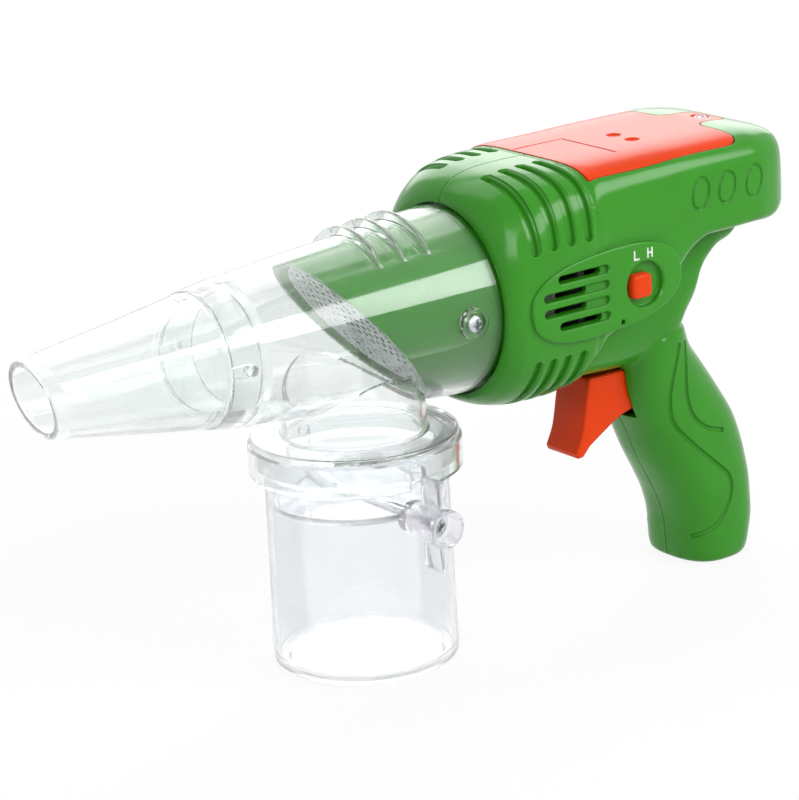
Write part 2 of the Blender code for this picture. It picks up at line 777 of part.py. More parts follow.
def jar_band_radius():
    return SKIRT_RADIUS - SKIRT_WALL - GAP


def jar_top():
    return FLANGE_TOP - FLANGE_THICKNESS - GAP


def jar_inner_radius(z):
    share = z / jar_top()
    return JAR_RADIUS + (JAR_SHOULDER_RADIUS - JAR_RADIUS) * share - JAR_WALL


def boss_end():
    return JAR_RADIUS + BOSS_LENGTH


def build_jar(material):
    """Jar with a thick neck band, two pegs and the shutter's shaft boss."""
    band = jar_band_radius()
    top = jar_top()
    band_low = SKIRT_LOW + JAR_EDGE
    ramp = band - JAR_SHOULDER_RADIUS
    jar = lathe("jar", [
        (0.0, 0.0),
        (JAR_RADIUS - JAR_EDGE, 0.0),
        (JAR_RADIUS - JAR_EDGE * 0.3, JAR_EDGE * 0.3),
        (JAR_RADIUS, JAR_EDGE),
        (JAR_SHOULDER_RADIUS, band_low),
        (band, band_low + ramp),
        (band, top),
        (jar_inner_radius(top), top),
        (jar_inner_radius(JAR_FLOOR + JAR_EDGE), JAR_FLOOR + JAR_EDGE),
        (jar_inner_radius(JAR_FLOOR) - JAR_EDGE, JAR_FLOOR),
        (0.0, JAR_FLOOR),
    ])
    for side in (-1, 1):
        ends = sorted((side * (band - JAR_WALL / 2), side * (band + PEG_HEIGHT)))
        combine(jar, rod("peg", JAR_PEG_RADIUS, *ends, "Y", (0.0, 0.0, JAR_PEG_Z)), "UNION")
    pivot = (0.0, 0.0, SHUTTER_Z)
    wall_middle = jar_inner_radius(SHUTTER_Z) + JAR_WALL / 2
    combine(jar, rod("boss", BOSS_RADIUS, -boss_end(), -wall_middle, "Y", pivot), "UNION")
    combine(jar, rod("bore", SHAFT_RADIUS + GAP, -2 * JAR_RADIUS, 2 * JAR_RADIUS, "Y", pivot))
    return finish(jar, material, (0.0, 0.0, jar_top()))


def knob_floor_y():
    """Where the knob's socket ends, measured outward from the jar's axis."""
    return boss_end() + GAP + KNOB_LENGTH - KNOB_FLOOR


def build_shutter(material):
    """Round shutter on its cross shaft."""
    radius = jar_inner_radius(SHUTTER_Z) - SHUTTER_CLEARANCE
    half = SHUTTER_THICKNESS / 2
    edge = half / 2
    disc = lathe("shutter_disc", [
        (0.0, SHUTTER_Z - half),
        (radius - edge, SHUTTER_Z - half),
        (radius, SHUTTER_Z - half + edge),
        (radius, SHUTTER_Z + half - edge),
        (radius - edge, SHUTTER_Z + half),
        (0.0, SHUTTER_Z + half),
    ])
    pivot = (0.0, 0.0, SHUTTER_Z)
    near = -(knob_floor_y() - GAP)
    combine(disc, rod("shaft", SHAFT_RADIUS, near, JAR_RADIUS - GAP, "Y", pivot), "UNION")
    hole = rod("screw_hole", SCREW_RADIUS + GAP, 2 * near, near + SCREW_LENGTH, "Y", pivot)
    combine(disc, hole)
    return finish(disc, material, pivot)


def build_knob(material):
    """Winged knob: a hub on the shaft, a cup for the screw and two flat wings."""
    pivot = (0.0, 0.0, SHUTTER_Z)
    start = boss_end() + GAP
    hub_end = start + KNOB_LENGTH
    cup_end = hub_end + CUP_LENGTH
    floor = knob_floor_y()
    knob = lathe("shutter_knob", [
        (0.0, -start),
        (KNOB_RADIUS, -start),
        (KNOB_RADIUS, KNOB_FLOOR - hub_end),
        (CUP_RADIUS, -hub_end),
        (CUP_RADIUS, -cup_end),
        (0.0, -cup_end),
    ], "Y", pivot, HUB_STEPS)
    wing_y = -(start + WING_START)
    half = WING_THICKNESS / 2
    low = (-half, wing_y - WING_WIDTH, SHUTTER_Z - WING_REACH)
    combine(knob, box("wings", low, (half, wing_y, SHUTTER_Z + WING_REACH)), "UNION")
    cup = CUP_RADIUS - CUP_WALL
    hole = SCREW_RADIUS + GAP
    shaft = SHAFT_RADIUS + GAP
    combine(knob, lathe("bore", [
        (0.0, -2 * cup_end),
        (cup, -2 * cup_end),
        (cup, -hub_end),
        (hole, -hub_end),
        (hole, -floor),
        (shaft, -floor),
        (shaft, 0.0),
        (0.0, 0.0),
    ], "Y", pivot, HUB_STEPS))
    return finish(knob, material, pivot)


def build_knob_screw(material):
    seat = boss_end() + GAP + KNOB_LENGTH + GAP
    screw("knob_screw", material, "Y", -seat, -1, (0.0, 0.0, SHUTTER_Z))


# Housing

# Drum, front to back: share of its length, then of its growth from the tube at the sides, the belly and
# the crown, and the powers of the lower and the upper corners
DRUM_SHARES = (
    (0.0, 0.30, 0.24, 0.20, 2.1, 2.1),
    (0.045, 0.60, 0.45, 0.45, 2.15, 2.25),
    (0.160, 0.92, 0.75, 0.75, 2.3, 2.6),
    (0.371, 1.0, 0.95, 0.94, 2.4, 3.4),
    (0.671, 1.0, 1.0, 1.0, 2.4, 4.3),
)

# Head, front to back: share of its length, of its width, of its underside's rise, of its middle's
# rise and of its depth lost at the top, then the power of the lower corners
HEAD_SHARES = (
    (0.049, 1.022, 0.33, 0.148, 0.0, 4.0),
    (0.147, 1.010, 0.43, 0.370, 0.0, 4.5),
    (0.264, 1.0, 0.50, 0.593, 0.0, 4.5),
    (0.337, 1.0, 0.60, 0.741, 0.0, 4.5),
    (0.398, 1.0, 0.78, 0.926, 0.0, 4.5),
    (0.460, 1.0, 0.92, 1.0, 0.0, 4.5),
    (0.533, 1.0, 1.0, 1.0, 0.0, 4.5),
    (0.755, 0.990, 1.0, 1.0, 0.0, 4.0),
    (0.853, 0.931, 0.976, 1.0, 0.021, 3.5),
    (0.926, 0.823, 1.0, 1.074, 0.070, 3.2),
    (0.975, 0.653, 1.048, 1.222, 0.193, 2.8),
    (1.0, 0.400, 1.143, 1.370, 0.386, 2.4),
)

# Neck, front to back: share of its length, of its half width and of its underside's rise
NECK_SHARES = (
    (-0.042, 0.857, 0.110),
    (0.036, 0.971, 0.037),
    (0.158, 1.0, 0.012),
    (0.327, 1.0, 0.0),
    (0.467, 1.0, 0.0),
    (0.520, 1.0, 0.060),
    (0.575, 1.0, 0.256),
    (0.612, 1.0, 0.380),
    (0.632, 1.0, 0.522),
    (0.668, 1.0, 0.654),
    (0.735, 0.98, 0.771),
    (0.790, 0.95, 0.805),
    (0.845, 0.90, 0.900),
    (0.900, 0.80, 0.950),
)

# Grip from the foot up: front and back points in shares of its depth and height, share of half width
GRIP_SHARES = (
    ((0.047, 0.0), (0.672, 0.0), 0.85),
    ((0.0, 0.0114), (0.75, 0.0152), 0.95),
    ((-0.016, 0.057), (0.797, 0.0759), 1.0),
    ((-0.0375, 0.1582), (0.847, 0.1772), 1.0),
    ((-0.103, 0.2532), (0.841, 0.2911), 1.0),
    ((-0.209, 0.3418), (0.791, 0.4177), 1.0),
    ((-0.359, 0.4557), (0.681, 0.5633), 1.0),
    ((-0.484, 0.5759), (0.484, 0.6962), 1.0),
    ((-0.62, 0.6962), (0.266, 0.8228), 1.019),
    ((-0.68, 0.8101), (0.094, 0.9177), 1.05),
    ((-0.69, 0.9367), (0.016, 1.0), 1.0625),
)


def body_rows():
    """Cross-sections along the housing: x, half width, low, middle, high, lower and upper corner power."""
    wide = DRUM_HALF_WIDTH
    lip = DRUM_HALF_WIDTH - TUBE_REAR_RADIUS
    drum_end = GROOVE_X - GROOVE_DEPTH
    start = GROOVE_X + GROOVE_DEPTH
    deep = GROOVE_DEPTH
    rise = HEAD_LOW - DRUM_LOW
    axis = AXIS_Z
    top = BODY_TOP
    rows = []
    for share, side, belly, crown, low_power, high_power in DRUM_SHARES:
        rows.append((
            BODY_FRONT + share * DRUM_LENGTH,
            TUBE_REAR_RADIUS + side * lip,
            axis - TUBE_REAR_RADIUS - belly * DRUM_BELLY,
            axis,
            axis + TUBE_REAR_RADIUS + crown * DRUM_CROWN,
            low_power,
            high_power,
        ))
    rows += [
        (drum_end, wide, DRUM_LOW + 0.07 * rise, axis, top, 2.8, 4.8),
        (GROOVE_X, wide - deep, DRUM_LOW + 0.12 * rise, axis, top - deep, 3.0, 5.0),
        (start, wide - 0.4 * deep, DRUM_LOW + 0.17 * rise, axis, top, 3.3, 5.3),
    ]
    length = BODY_REAR - start
    for share, width, low, middle, drop, power in HEAD_SHARES:
        rows.append((
            start + share * length,
            width * HEAD_HALF_WIDTH,
            DRUM_LOW + low * rise,
            axis + middle * (HEAD_MIDDLE - axis),
            top - drop * HEAD_DEPTH,
            power,
            CROWN_POWER,
        ))
    return rows


def body_point(x, angle, grow=0.0):
    """Point (y, z) on the housing's cross-section at x; the upper half has its own corner power."""
    _, half_width, low, middle, high, low_power, high_power = between(x, body_rows())
    if math.sin(angle) >= 0.0:
        y, z = power_point(angle, half_width + grow, high - middle + grow, high_power)
    else:
        y, z = power_point(angle, half_width + grow, middle - low + grow, low_power)
    return y, middle + z


def body_ring(x, inset=0.0):
    count = INNER_STEPS if inset else BODY_STEPS
    turns = [2 * math.pi * i / count for i in range(count)]
    return [(x, *body_point(x, angle, -inset)) for angle in turns]


def body_solid(name, inset=0.0, front=BODY_FRONT):
    rear = BODY_REAR - inset
    places = [front] + [row[0] for row in body_rows() if front < row[0] < rear - GAP] + [rear]
    return loft(name, [body_ring(x, inset) for x in places])


def neck_rows(inset):
    """Cross-sections of the neck under the head: x, half width, low. The back keeps its wall along X."""
    rise = HEAD_LOW - NECK_LOW
    rows = []
    for share, width, low in NECK_SHARES:
        back = inset if share > NECK_BEND else 0.0
        x = GROOVE_X + share * HEAD_LENGTH - back
        rows.append((x, width * NECK_HALF_WIDTH, NECK_LOW + low * rise))
    return rows


def neck_solid(name, inset=0.0):
    high = HEAD_MIDDLE
    rings = []
    for x, half_width, low in neck_rows(inset):
        low += inset
        middle = (low + high) / 2
        count = INNER_STEPS if inset else GRIP_STEPS
        half_height = (high - low) / 2
        outline = power_outline(half_width - inset, half_height, NECK_POWER, count, (0.0, middle))
        rings.append([(x, y, z) for y, z in outline])
    if inset:
        rings = rings[1:-2]
    return loft(name, rings)


def grip_rows():
    """Cross-sections of the grip: front point, back point (x, z) and half width, from the foot up."""
    rows = []
    for front, back, width in GRIP_SHARES:
        ends = [(GRIP_X + a * GRIP_DEPTH, b * GRIP_TOP) for a, b in (front, back)]
        rows.append((*ends, width * GRIP_HALF_WIDTH))
    return rows


def grip_solid(name, inset=0.0):
    rows = grip_rows()
    if inset:
        rows = rows[1:]
    rings = []
    for i, (front, back, half_width) in enumerate(rows):
        front = Vector((front[0], 0.0, front[1]))
        back = Vector((back[0], 0.0, back[1]))
        along = (back - front).normalized()
        middle = (front + back) / 2
        if inset and i == 0:
            middle.z += inset
        half_depth = (back - front).length / 2 - inset
        ring = []
        for a, y in power_outline(half_depth, half_width - inset, GRIP_POWER, GRIP_STEPS):
            point = middle + along * a
            ring.append((point.x, y, point.z))
        rings.append(ring)
    return loft(name, rings)


def build_housing(left_material, right_material):
    """Moulded housing: drum, head, neck and grip in one shell, split into halves on the middle plane."""
    shell = body_solid("shell")
    combine(shell, neck_solid("neck"), "UNION")
    combine(shell, grip_solid("grip"), "UNION")
    for side in (-1, 1):
        combine(shell, side_panel(side), "UNION")
    hollow = body_solid("hollow", WALL, SEAT_WALL_X + SEAT_WALL)
    combine(hollow, neck_solid("neck_hollow", WALL), "UNION")
    combine(hollow, grip_solid("grip_hollow", WALL), "UNION")
    keep_solid_for_bosses(hollow)
    combine(shell, hollow)
    centre = (0.0, 0.0, AXIS_Z)
    bore = TUBE_REAR_RADIUS + GAP
    combine(shell, rod("tube_bore", bore, 0.0, SEAT_WALL_X, "X", centre, ROUND_STEPS))
    combine(shell, rod("air_bore", SEAT_BORE, 0.0, SEAT_WALL_X + 2 * SEAT_WALL, "X", centre, ROUND_STEPS))
    cut_corner_slots(shell)
    cut_panel_slots(shell)
    combine(shell, prism("cover_seat", cover_outline(GAP), "Z", tab_floor(), 2 * BODY_TOP))
    combine(shell, prism("battery_bay", plate_outline(GAP), "Z", HEAD_LOW + 2 * WALL, 2 * BODY_TOP))
    cut_trigger_slot(shell)
    cut_screw_holes(shell)
    for name, side, material in (("housing_left", -1, left_material), ("housing_right", 1, right_material)):
        half = copy_of(shell)
        half.name = name
        reach = 2 * BODY_REAR
        ends = sorted((side * SPLIT_GAP / 2, side * reach))
        combine(half, box("half", (-reach, ends[0], -reach), (reach, ends[1], reach)), "INTERSECT")
        if side < 0:
            cut_switch_recess(half)
        else:
            cut_screw_recesses(half)
        finish(half, material)
    bpy.data.objects.remove(shell, do_unlink=True)


def side_panel(side):
    """Raised oval panel on the drum's flank."""
    outline = power_outline(
        PANEL_HALF_LENGTH, PANEL_HALF_HEIGHT, PANEL_POWER, PANEL_STEPS, (PANEL_X, PANEL_Z), PANEL_TILT,
    )
    ends = sorted((side * (HEAD_HALF_WIDTH - WALL / 2), side * PANEL_FACE))
    return bevel_edges(prism("panel", outline, "Y", *ends), 0.7, 1, 60.0)


def keep_solid_for_bosses(hollow):
    """Leave material in the hollow for screw posts, the spring's rib and the cover screw's post."""
    reach = 2 * DRUM_HALF_WIDTH
    for x, z in HOUSING_SCREWS:
        combine(hollow, rod("post", HOUSING_BOSS_RADIUS, -reach, reach, "Y", (x, 0.0, z)))
    rib_front = TRIGGER_TAIL_X + GAP + SPRING_LENGTH + GAP
    rib_low = SPRING_Z - SPRING_RADIUS - SPRING_RIB
    rib_high = SPRING_Z + SPRING_RADIUS + SPRING_RIB
    combine(hollow, box("rib", (rib_front, -reach, rib_low), (rib_front + SPRING_RIB, reach, rib_high)))
    x = cover_screw_x()
    combine(hollow, rod("post", HOUSING_BOSS_RADIUS, 0.0, BODY_TOP, "Z", (x, 0.0, 0.0)))


def drum_path(x, arc, grow, count=5):
    """Points along the drum's cross-section at x, between two angles seen from its middle."""
    low_power, high_power = between(x, body_rows())[-2:]
    path = []
    for i in range(count + 1):
        angle = arc[0] + (arc[1] - arc[0]) * i / count
        power = high_power if angle > 0.0 else low_power
        turn = math.atan(math.tan(abs(angle)) ** (power / 2))
        path.append(body_point(x, math.copysign(turn, angle), grow))
    return path


def cut_corner_slots(shell):
    """Blind slots round the drum's four long corners."""
    rows = (
        (UPPER_SLOT_X, UPPER_SLOT_PITCH, UPPER_SLOT_ARC),
        (LOWER_SLOT_X, LOWER_SLOT_PITCH, LOWER_SLOT_ARC),
    )
    for first, pitch, arc in rows:
        for i in range(CORNER_SLOTS):
            x = first + i * pitch
            low = x - CORNER_SLOT_WIDTH / 2
            floor = drum_path(x, arc, -CORNER_SLOT_DEPTH)
            rim = drum_path(x, arc, 2 * CORNER_SLOT_DEPTH)
            for side in (-1, 1):
                outline = [(side * y, z) for y, z in floor + rim[::-1]]
                combine(shell, prism("slot", outline, "X", low, low + CORNER_SLOT_WIDTH))


def cut_panel_slots(shell):
    """Four air slots on each flank, open in front and shallow behind."""
    inside = HEAD_HALF_WIDTH - 2 * WALL
    outside = 2 * PANEL_FACE
    for i in range(SLOT_COUNT):
        level = PANEL_Z + (i - (SLOT_COUNT - 1) / 2) * SLOT_PITCH
        length = SLOT_SHORT if i in (0, SLOT_COUNT - 1) else SLOT_LONG
        front = SLOT_REAR_X - length
        shallow = stadium(front, SLOT_REAR_X, level, SLOT_HEIGHT)
        through = stadium(front, front + SLOT_OPEN, level, SLOT_HEIGHT)
        for side in (-1, 1):
            ends = sorted((side * (PANEL_FACE - SLOT_SHALLOW), side * outside))
            combine(shell, prism("slot", shallow, "Y", *ends))
            ends = sorted((side * inside, side * outside))
            combine(shell, prism("slot", through, "Y", *ends))


def cut_trigger_slot(shell):
    half = TRIGGER_HALF_WIDTH + GAP
    low = (TRIGGER_TAIL_X - 0.54 * TRIGGER_REACH, -half, TRIGGER_TOP - 0.664 * TRIGGER_DROP)
    high = (TRIGGER_TAIL_X + TRIGGER_TRAVEL + GAP, half, TRIGGER_TOP + GAP)
    combine(shell, box("trigger_slot", low, high))


def cut_screw_holes(shell):
    pilot = SCREW_RADIUS + GAP
    low = HOUSING_SCREW_HEAD_Y - HOUSING_SCREW_LENGTH - GAP
    for x, z in HOUSING_SCREWS:
        combine(shell, rod("pilot", pilot, low, HOUSING_SCREW_HEAD_Y + GAP, "Y", (x, 0.0, z)))
    centre = (cover_screw_x(), 0.0, 0.0)
    low = cover_screw_seat() - 2 * COVER_SCREW_LENGTH
    combine(shell, rod("pilot", SCREW_RADIUS + COVER_SCREW_PLAY, low, 2 * BODY_TOP, "Z", centre))


def cut_screw_recesses(half):
    radius = SCREW_HEAD_RADIUS + GAP
    for x, z in HOUSING_SCREWS:
        combine(half, rod("recess", radius, HOUSING_SCREW_HEAD_Y, 2 * DRUM_HALF_WIDTH, "Y", (x, 0.0, z)))


def cut_switch_recess(half):
    """Round recess for the speed button, and the slot for its stem."""
    centre = (SWITCH_X, 0.0, SWITCH_Z)
    floor = PANEL_FACE - SWITCH_RECESS_DEPTH
    recess = rod("recess", SWITCH_RECESS_RADIUS, -2 * PANEL_FACE, -floor, "Y", centre, HUB_STEPS)
    combine(half, recess)
    reach = (BUTTON_TRAVEL + BUTTON_STEM) / 2 + GAP
    outline = stadium(SWITCH_X - reach, SWITCH_X + reach, SWITCH_Z, BUTTON_STEM + 2 * GAP)
    combine(half, prism("stem_slot", outline, "Y", -2 * PANEL_FACE, -(HEAD_HALF_WIDTH - 2 * WALL)))


def build_housing_screws(material):
    for i, (x, z) in enumerate(HOUSING_SCREWS, start=1):
        name = f"housing_screw_{i}"
        screw(name, material, "Y", HOUSING_SCREW_HEAD_Y + GAP, 1, (x, 0.0, z), HOUSING_SCREW_LENGTH)


# Battery cover, tray, cells and contacts

def cover_screw_x():
    return COVER_FRONT + COVER_LENGTH + TAB_LENGTH - COVER_SCREW_BACK


def cover_screw_seat():
    """Underside of the cover screw's head, sunk flush into the tab."""
    return BODY_TOP - SCREW_HEAD_HEIGHT - GAP


def tab_floor():
    """Top of the housing under the cover's screw tab."""
    return BODY_TOP - COVER_THICKNESS - TAB_BOSS_DEPTH - GAP


def plate_outline(grow, corner=TAB_HALF_WIDTH / 2):
    """Plan of the cover's wide plate, with its rear corners cut off."""
    front = COVER_FRONT - grow
    rear = COVER_FRONT + COVER_LENGTH + grow
    half = COVER_HALF_WIDTH + grow
    one_side = [(front, half), (rear - corner, half), (rear, half - corner)]
    return one_side + [(x, -y) for x, y in reversed(one_side)]


def cover_outline(grow, corner=TAB_HALF_WIDTH / 2):
    """Plan of the whole cover: the plate and the screw tab at its rear."""
    plate = plate_outline(grow, corner)
    half_count = len(plate) // 2
    rear = COVER_FRONT + COVER_LENGTH + grow
    tab = TAB_HALF_WIDTH + grow
    tip = COVER_FRONT + COVER_LENGTH + TAB_LENGTH + grow
    one_side = plate[:half_count] + [(rear, tab + corner), (rear + corner, tab)]
    one_side += [(tip - corner, tab), (tip, tab - corner)]
    return one_side + [(x, -y) for x, y in reversed(one_side)]


def build_cover(material):
    """Battery cover: a crowned plate flush with the head, with a screw tab."""
    cover = prism("battery_cover", cover_outline(0.0), "Z", BODY_TOP - COVER_EDGE, 2 * BODY_TOP)
    combine(cover, body_solid("skin"), "INTERSECT")
    combine(cover, body_solid("under", COVER_THICKNESS, SEAT_WALL_X))
    centre = (cover_screw_x(), 0.0, 0.0)
    boss_low = BODY_TOP - COVER_THICKNESS - TAB_BOSS_DEPTH
    combine(cover, rod("boss", TAB_BOSS_RADIUS, boss_low, cover_screw_seat(), "Z", centre), "UNION")
    well = screw_well(boss_low - TAB_BOSS_DEPTH, cover_screw_seat() - GAP, 2 * BODY_TOP, "Z", centre)
    combine(cover, well)
    return finish(cover, material, (COVER_FRONT, 0.0, BODY_TOP + GAP))


def build_cover_screw(material):
    centre = (cover_screw_x(), 0.0, 0.0)
    screw("cover_screw", material, "Z", cover_screw_seat(), 1, centre, COVER_SCREW_LENGTH)


def tray_low():
    return HEAD_LOW + WALL + TRAY_LIFT


def tray_inside():
    """Half the tray's clear width: a cell, its contact pads and their strips."""
    return TRAY_HALF_WIDTH - TRAY_WALL


def tray_front():
    return COVER_FRONT + GAP


def cell_z():
    return tray_low() + TRAY_WALL + CELL_RADIUS + GAP


def cell_x(index):
    return tray_front() + TRAY_WALL + CELL_PITCH * (index + 0.5)


def tray_rear():
    return tray_front() + 2 * TRAY_WALL + CELL_COUNT * CELL_PITCH


def build_tray(material):
    """Open tray with a round seat for each cell."""
    inside = tray_inside()
    outside = inside + TRAY_WALL
    high = cell_z() + CELL_RADIUS / 2 + GAP
    tray = box("battery_tray", (tray_front(), -outside, tray_low()), (tray_rear(), outside, high))
    floor = cell_z() - CELL_RADIUS / 2
    low = (tray_front() + TRAY_WALL, -inside, floor)
    combine(tray, box("hollow", low, (tray_rear() - TRAY_WALL, inside, 2 * high)))
    for i in range(CELL_COUNT):
        seat = rod("seat", CELL_RADIUS + GAP, -inside, inside, "Y", (cell_x(i), 0.0, cell_z()), HUB_STEPS)
        combine(tray, seat)
    return finish(tray, material)


def build_cells(material):
    """Four cells lying across the tray, turned about by turns."""
    half = CELL_LENGTH / 2
    edge = 0.5
    profile = [
        (0.0, -half),
        (CELL_RADIUS - edge, -half),
        (CELL_RADIUS, -half + edge),
        (CELL_RADIUS, half - CELL_NUB_LENGTH - edge),
        (CELL_RADIUS - edge, half - CELL_NUB_LENGTH),
        (CELL_NUB_RADIUS, half - CELL_NUB_LENGTH),
        (CELL_NUB_RADIUS, half),
        (0.0, half),
    ]
    for i in range(CELL_COUNT):
        turn = 1 if i % 2 == 0 else -1
        turned = [(radius, turn * y) for radius, y in profile]
        cell = lathe(f"battery_cell_{i + 1}", turned, "Y", (0.0, 0.0, 0.0), HUB_STEPS)
        finish(cell, material)
        cell.location = Vector((cell_x(i), 0.0, cell_z())) * METRES


def build_contacts(material):
    """Contact strips at both ends of the cells, with a raised pad for each cell."""
    outer = tray_inside() - GAP
    inner = outer - CONTACT_THICKNESS
    half_height = CELL_RADIUS / 2
    for name, side in (("contact_strip_left", -1), ("contact_strip_right", 1)):
        ends = sorted((side * outer, side * inner))
        low = (tray_front() + TRAY_WALL + GAP, ends[0], cell_z() - half_height + GAP)
        high = (tray_rear() - TRAY_WALL - GAP, ends[1], cell_z() + half_height)
        strip = box(name, low, high)
        pad_ends = sorted((side * (inner + CONTACT_THICKNESS / 2), side * (inner - CONTACT_PAD_HEIGHT)))
        for i in range(CELL_COUNT):
            centre = (cell_x(i), 0.0, cell_z())
            combine(strip, rod("pad", CONTACT_PAD_RADIUS, *pad_ends, "Y", centre), "UNION")
        finish(strip, material)


# Motor and impeller

def mount_front():
    return IMPELLER_FRONT + IMPELLER_DEPTH + MOUNT_GAP


def motor_front():
    return mount_front() + MOUNT_PLATE + GAP


def build_motor_mount(material):
    """Bulkhead across the drum that carries the motor in a short cup."""
    front = mount_front()
    rear = front + MOUNT_PLATE
    rings = [body_ring(x, WALL + GAP) for x in (front, rear)]
    mount = loft("motor_mount", rings)
    centre = (0.0, 0.0, AXIS_Z)
    cup = MOTOR_RADIUS + GAP
    ring = lathe("cup", [
        (cup + MOUNT_CUP_WALL, rear - MOUNT_PLATE / 2),
        (cup + MOUNT_CUP_WALL, rear + MOUNT_CUP),
        (cup, rear + MOUNT_CUP),
        (cup, rear - MOUNT_PLATE / 2),
    ], "X", centre, HUB_STEPS)
    combine(mount, ring, "UNION")
    combine(mount, rod("nose_hole", MOTOR_NOSE_RADIUS + GAP, 0.0, rear + MOUNT_CUP, "X", centre))
    for x, z in HOUSING_SCREWS:
        if abs(x - (front + rear) / 2) < HOUSING_BOSS_RADIUS + MOUNT_PLATE:
            reach = 2 * DRUM_HALF_WIDTH
            combine(mount, rod("post_hole", HOUSING_BOSS_RADIUS + GAP, -reach, reach, "Y", (x, 0.0, z)))
    return finish(mount, material)


def build_motor(material):
    """Motor can with a front nose, a rear cap step and a bore for the shaft."""
    front = motor_front()
    rear = front + MOTOR_LENGTH
    edge = 1.0
    nose = front - MOUNT_PLATE / 2
    bore = MOTOR_SHAFT_RADIUS + GAP
    motor = lathe("motor", [
        (bore, nose),
        (MOTOR_NOSE_RADIUS, nose),
        (MOTOR_NOSE_RADIUS, front),
        (MOTOR_RADIUS - edge, front),
        (MOTOR_RADIUS, front + edge),
        (MOTOR_RADIUS, rear - 4 * edge),
        (MOTOR_RADIUS - edge, rear - 3 * edge),
        (MOTOR_RADIUS - edge, rear),
        (MOTOR_NOSE_RADIUS, rear),
        (MOTOR_NOSE_RADIUS, rear + 2 * edge),
        (bore, rear + 2 * edge),
    ], "X", (0.0, 0.0, AXIS_Z), HUB_STEPS)
    return finish(motor, material)


def build_motor_shaft(material):
    low = IMPELLER_FRONT + IMPELLER_PLATE + GAP
    high = motor_front() + SHAFT_IN_MOTOR
    shaft = rod("motor_shaft", MOTOR_SHAFT_RADIUS, low, high, "X", (0.0, 0.0, AXIS_Z))
    return finish(shaft, material, (low, 0.0, AXIS_Z))


def build_impeller(material):
    """Centrifugal impeller: back plate, hub and swept blades."""
    front = IMPELLER_FRONT
    rear = front + IMPELLER_DEPTH
    centre = (0.0, 0.0, AXIS_Z)
    bore = MOTOR_SHAFT_RADIUS + GAP
    impeller = lathe("impeller", [
        (0.0, front),
        (IMPELLER_HUB * 0.7, front),
        (IMPELLER_HUB, front + IMPELLER_PLATE),
        (IMPELLER_HUB, rear - IMPELLER_PLATE),
        (IMPELLER_RADIUS, rear - IMPELLER_PLATE),
        (IMPELLER_RADIUS, rear),
        (bore, rear),
        (bore, front + IMPELLER_PLATE),
        (0.0, front + IMPELLER_PLATE),
    ], "X", centre, HUB_STEPS)
    inner = IMPELLER_HUB + IMPELLER_PLATE
    outer = IMPELLER_RADIUS - BLADE_THICKNESS / 2
    for i in range(BLADE_COUNT):
        turn = 2 * math.pi * i / BLADE_COUNT
        outline = blade_outline(inner, outer, turn)
        blade = prism("blade", outline, "X", front + IMPELLER_PLATE, rear - IMPELLER_PLATE / 2)
        combine(impeller, blade, "UNION")
    return finish(impeller, material, (front, 0.0, AXIS_Z))


def blade_outline(inner, outer, turn, count=4):
    """Blade seen along the axis: a strip that sweeps back as it goes out."""
    sides = ([], [])
    for j in range(count + 1):
        share = j / count
        radius = inner + (outer - inner) * share
        angle = turn + BLADE_SWEEP * share
        half = BLADE_THICKNESS / 2 / radius
        for points, offset in zip(sides, (-half, half)):
            points.append((radius * math.cos(angle + offset), AXIS_Z + radius * math.sin(angle + offset)))
    return sides[0] + sides[1][::-1]


# Trigger and switches

# Side view of the trigger: shares of its reach forward of the tail and of its drop below the top
TRIGGER_SHARES = (
    (0.750, 0.0),
    (0.819, 0.318),
    (0.892, 0.682),
    (1.0, 0.927),
    (0.977, 1.0),
    (0.885, 0.991),
    (0.769, 0.873),
    (0.538, 0.736),
    (0.269, 0.591),
    (0.0, 0.523),
    (0.0, 0.0),
)


def build_trigger(material):
    """Finger trigger: a hooked blade in front and a flat tail that slides into the grip."""
    tail = TRIGGER_TAIL_X
    top = TRIGGER_TOP
    outline = [(tail - a * TRIGGER_REACH, top - b * TRIGGER_DROP) for a, b in TRIGGER_SHARES]
    trigger = prism("trigger", outline, "Y", -TRIGGER_HALF_WIDTH, TRIGGER_HALF_WIDTH)
    bevel_edges(trigger, 1.0, 2, 50.0)
    return finish(trigger, material, (tail, 0.0, SPRING_Z))


def spring_points():
    """Helix of the trigger's return spring, with a straight stretch at each end."""
    start = TRIGGER_TAIL_X + GAP + SPRING_WIRE
    length = SPRING_LENGTH - 2 * SPRING_WIRE
    steps = SPRING_TURNS * 9
    points = []
    for i in range(steps + 1):
        share = i / steps
        angle = 2 * math.pi * SPRING_TURNS * share
        points.append(Vector((
            start + length * share,
            SPRING_RADIUS * math.cos(angle),
            SPRING_Z + SPRING_RADIUS * math.sin(angle),
        )))
    return points


def least_turn_gap(points):
    """Least clear gap between neighbouring turns, measured on the helix's points."""
    turn = (len(points) - 1) // SPRING_TURNS
    pitch = min((b - a).length for a, b in zip(points, points[turn:]))
    return pitch - 2 * SPRING_WIRE


def build_spring(material):
    points = spring_points()
    curve = bpy.data.curves.new("trigger_spring", "CURVE")
    curve.dimensions = "3D"
    curve.bevel_depth = SPRING_WIRE * METRES
    curve.bevel_resolution = 1
    curve.use_fill_caps = True
    spline = curve.splines.new("POLY")
    spline.points.add(len(points) - 1)
    for place, point in zip(spline.points, points):
        place.co = (*(point * METRES), 1.0)
    spring = bpy.data.objects.new("trigger_spring", curve)
    bpy.context.scene.collection.objects.link(spring)
    curve.materials.append(material)
    print(f"trigger_spring: least gap between turns {least_turn_gap(points):.2f} mm")
    return spring


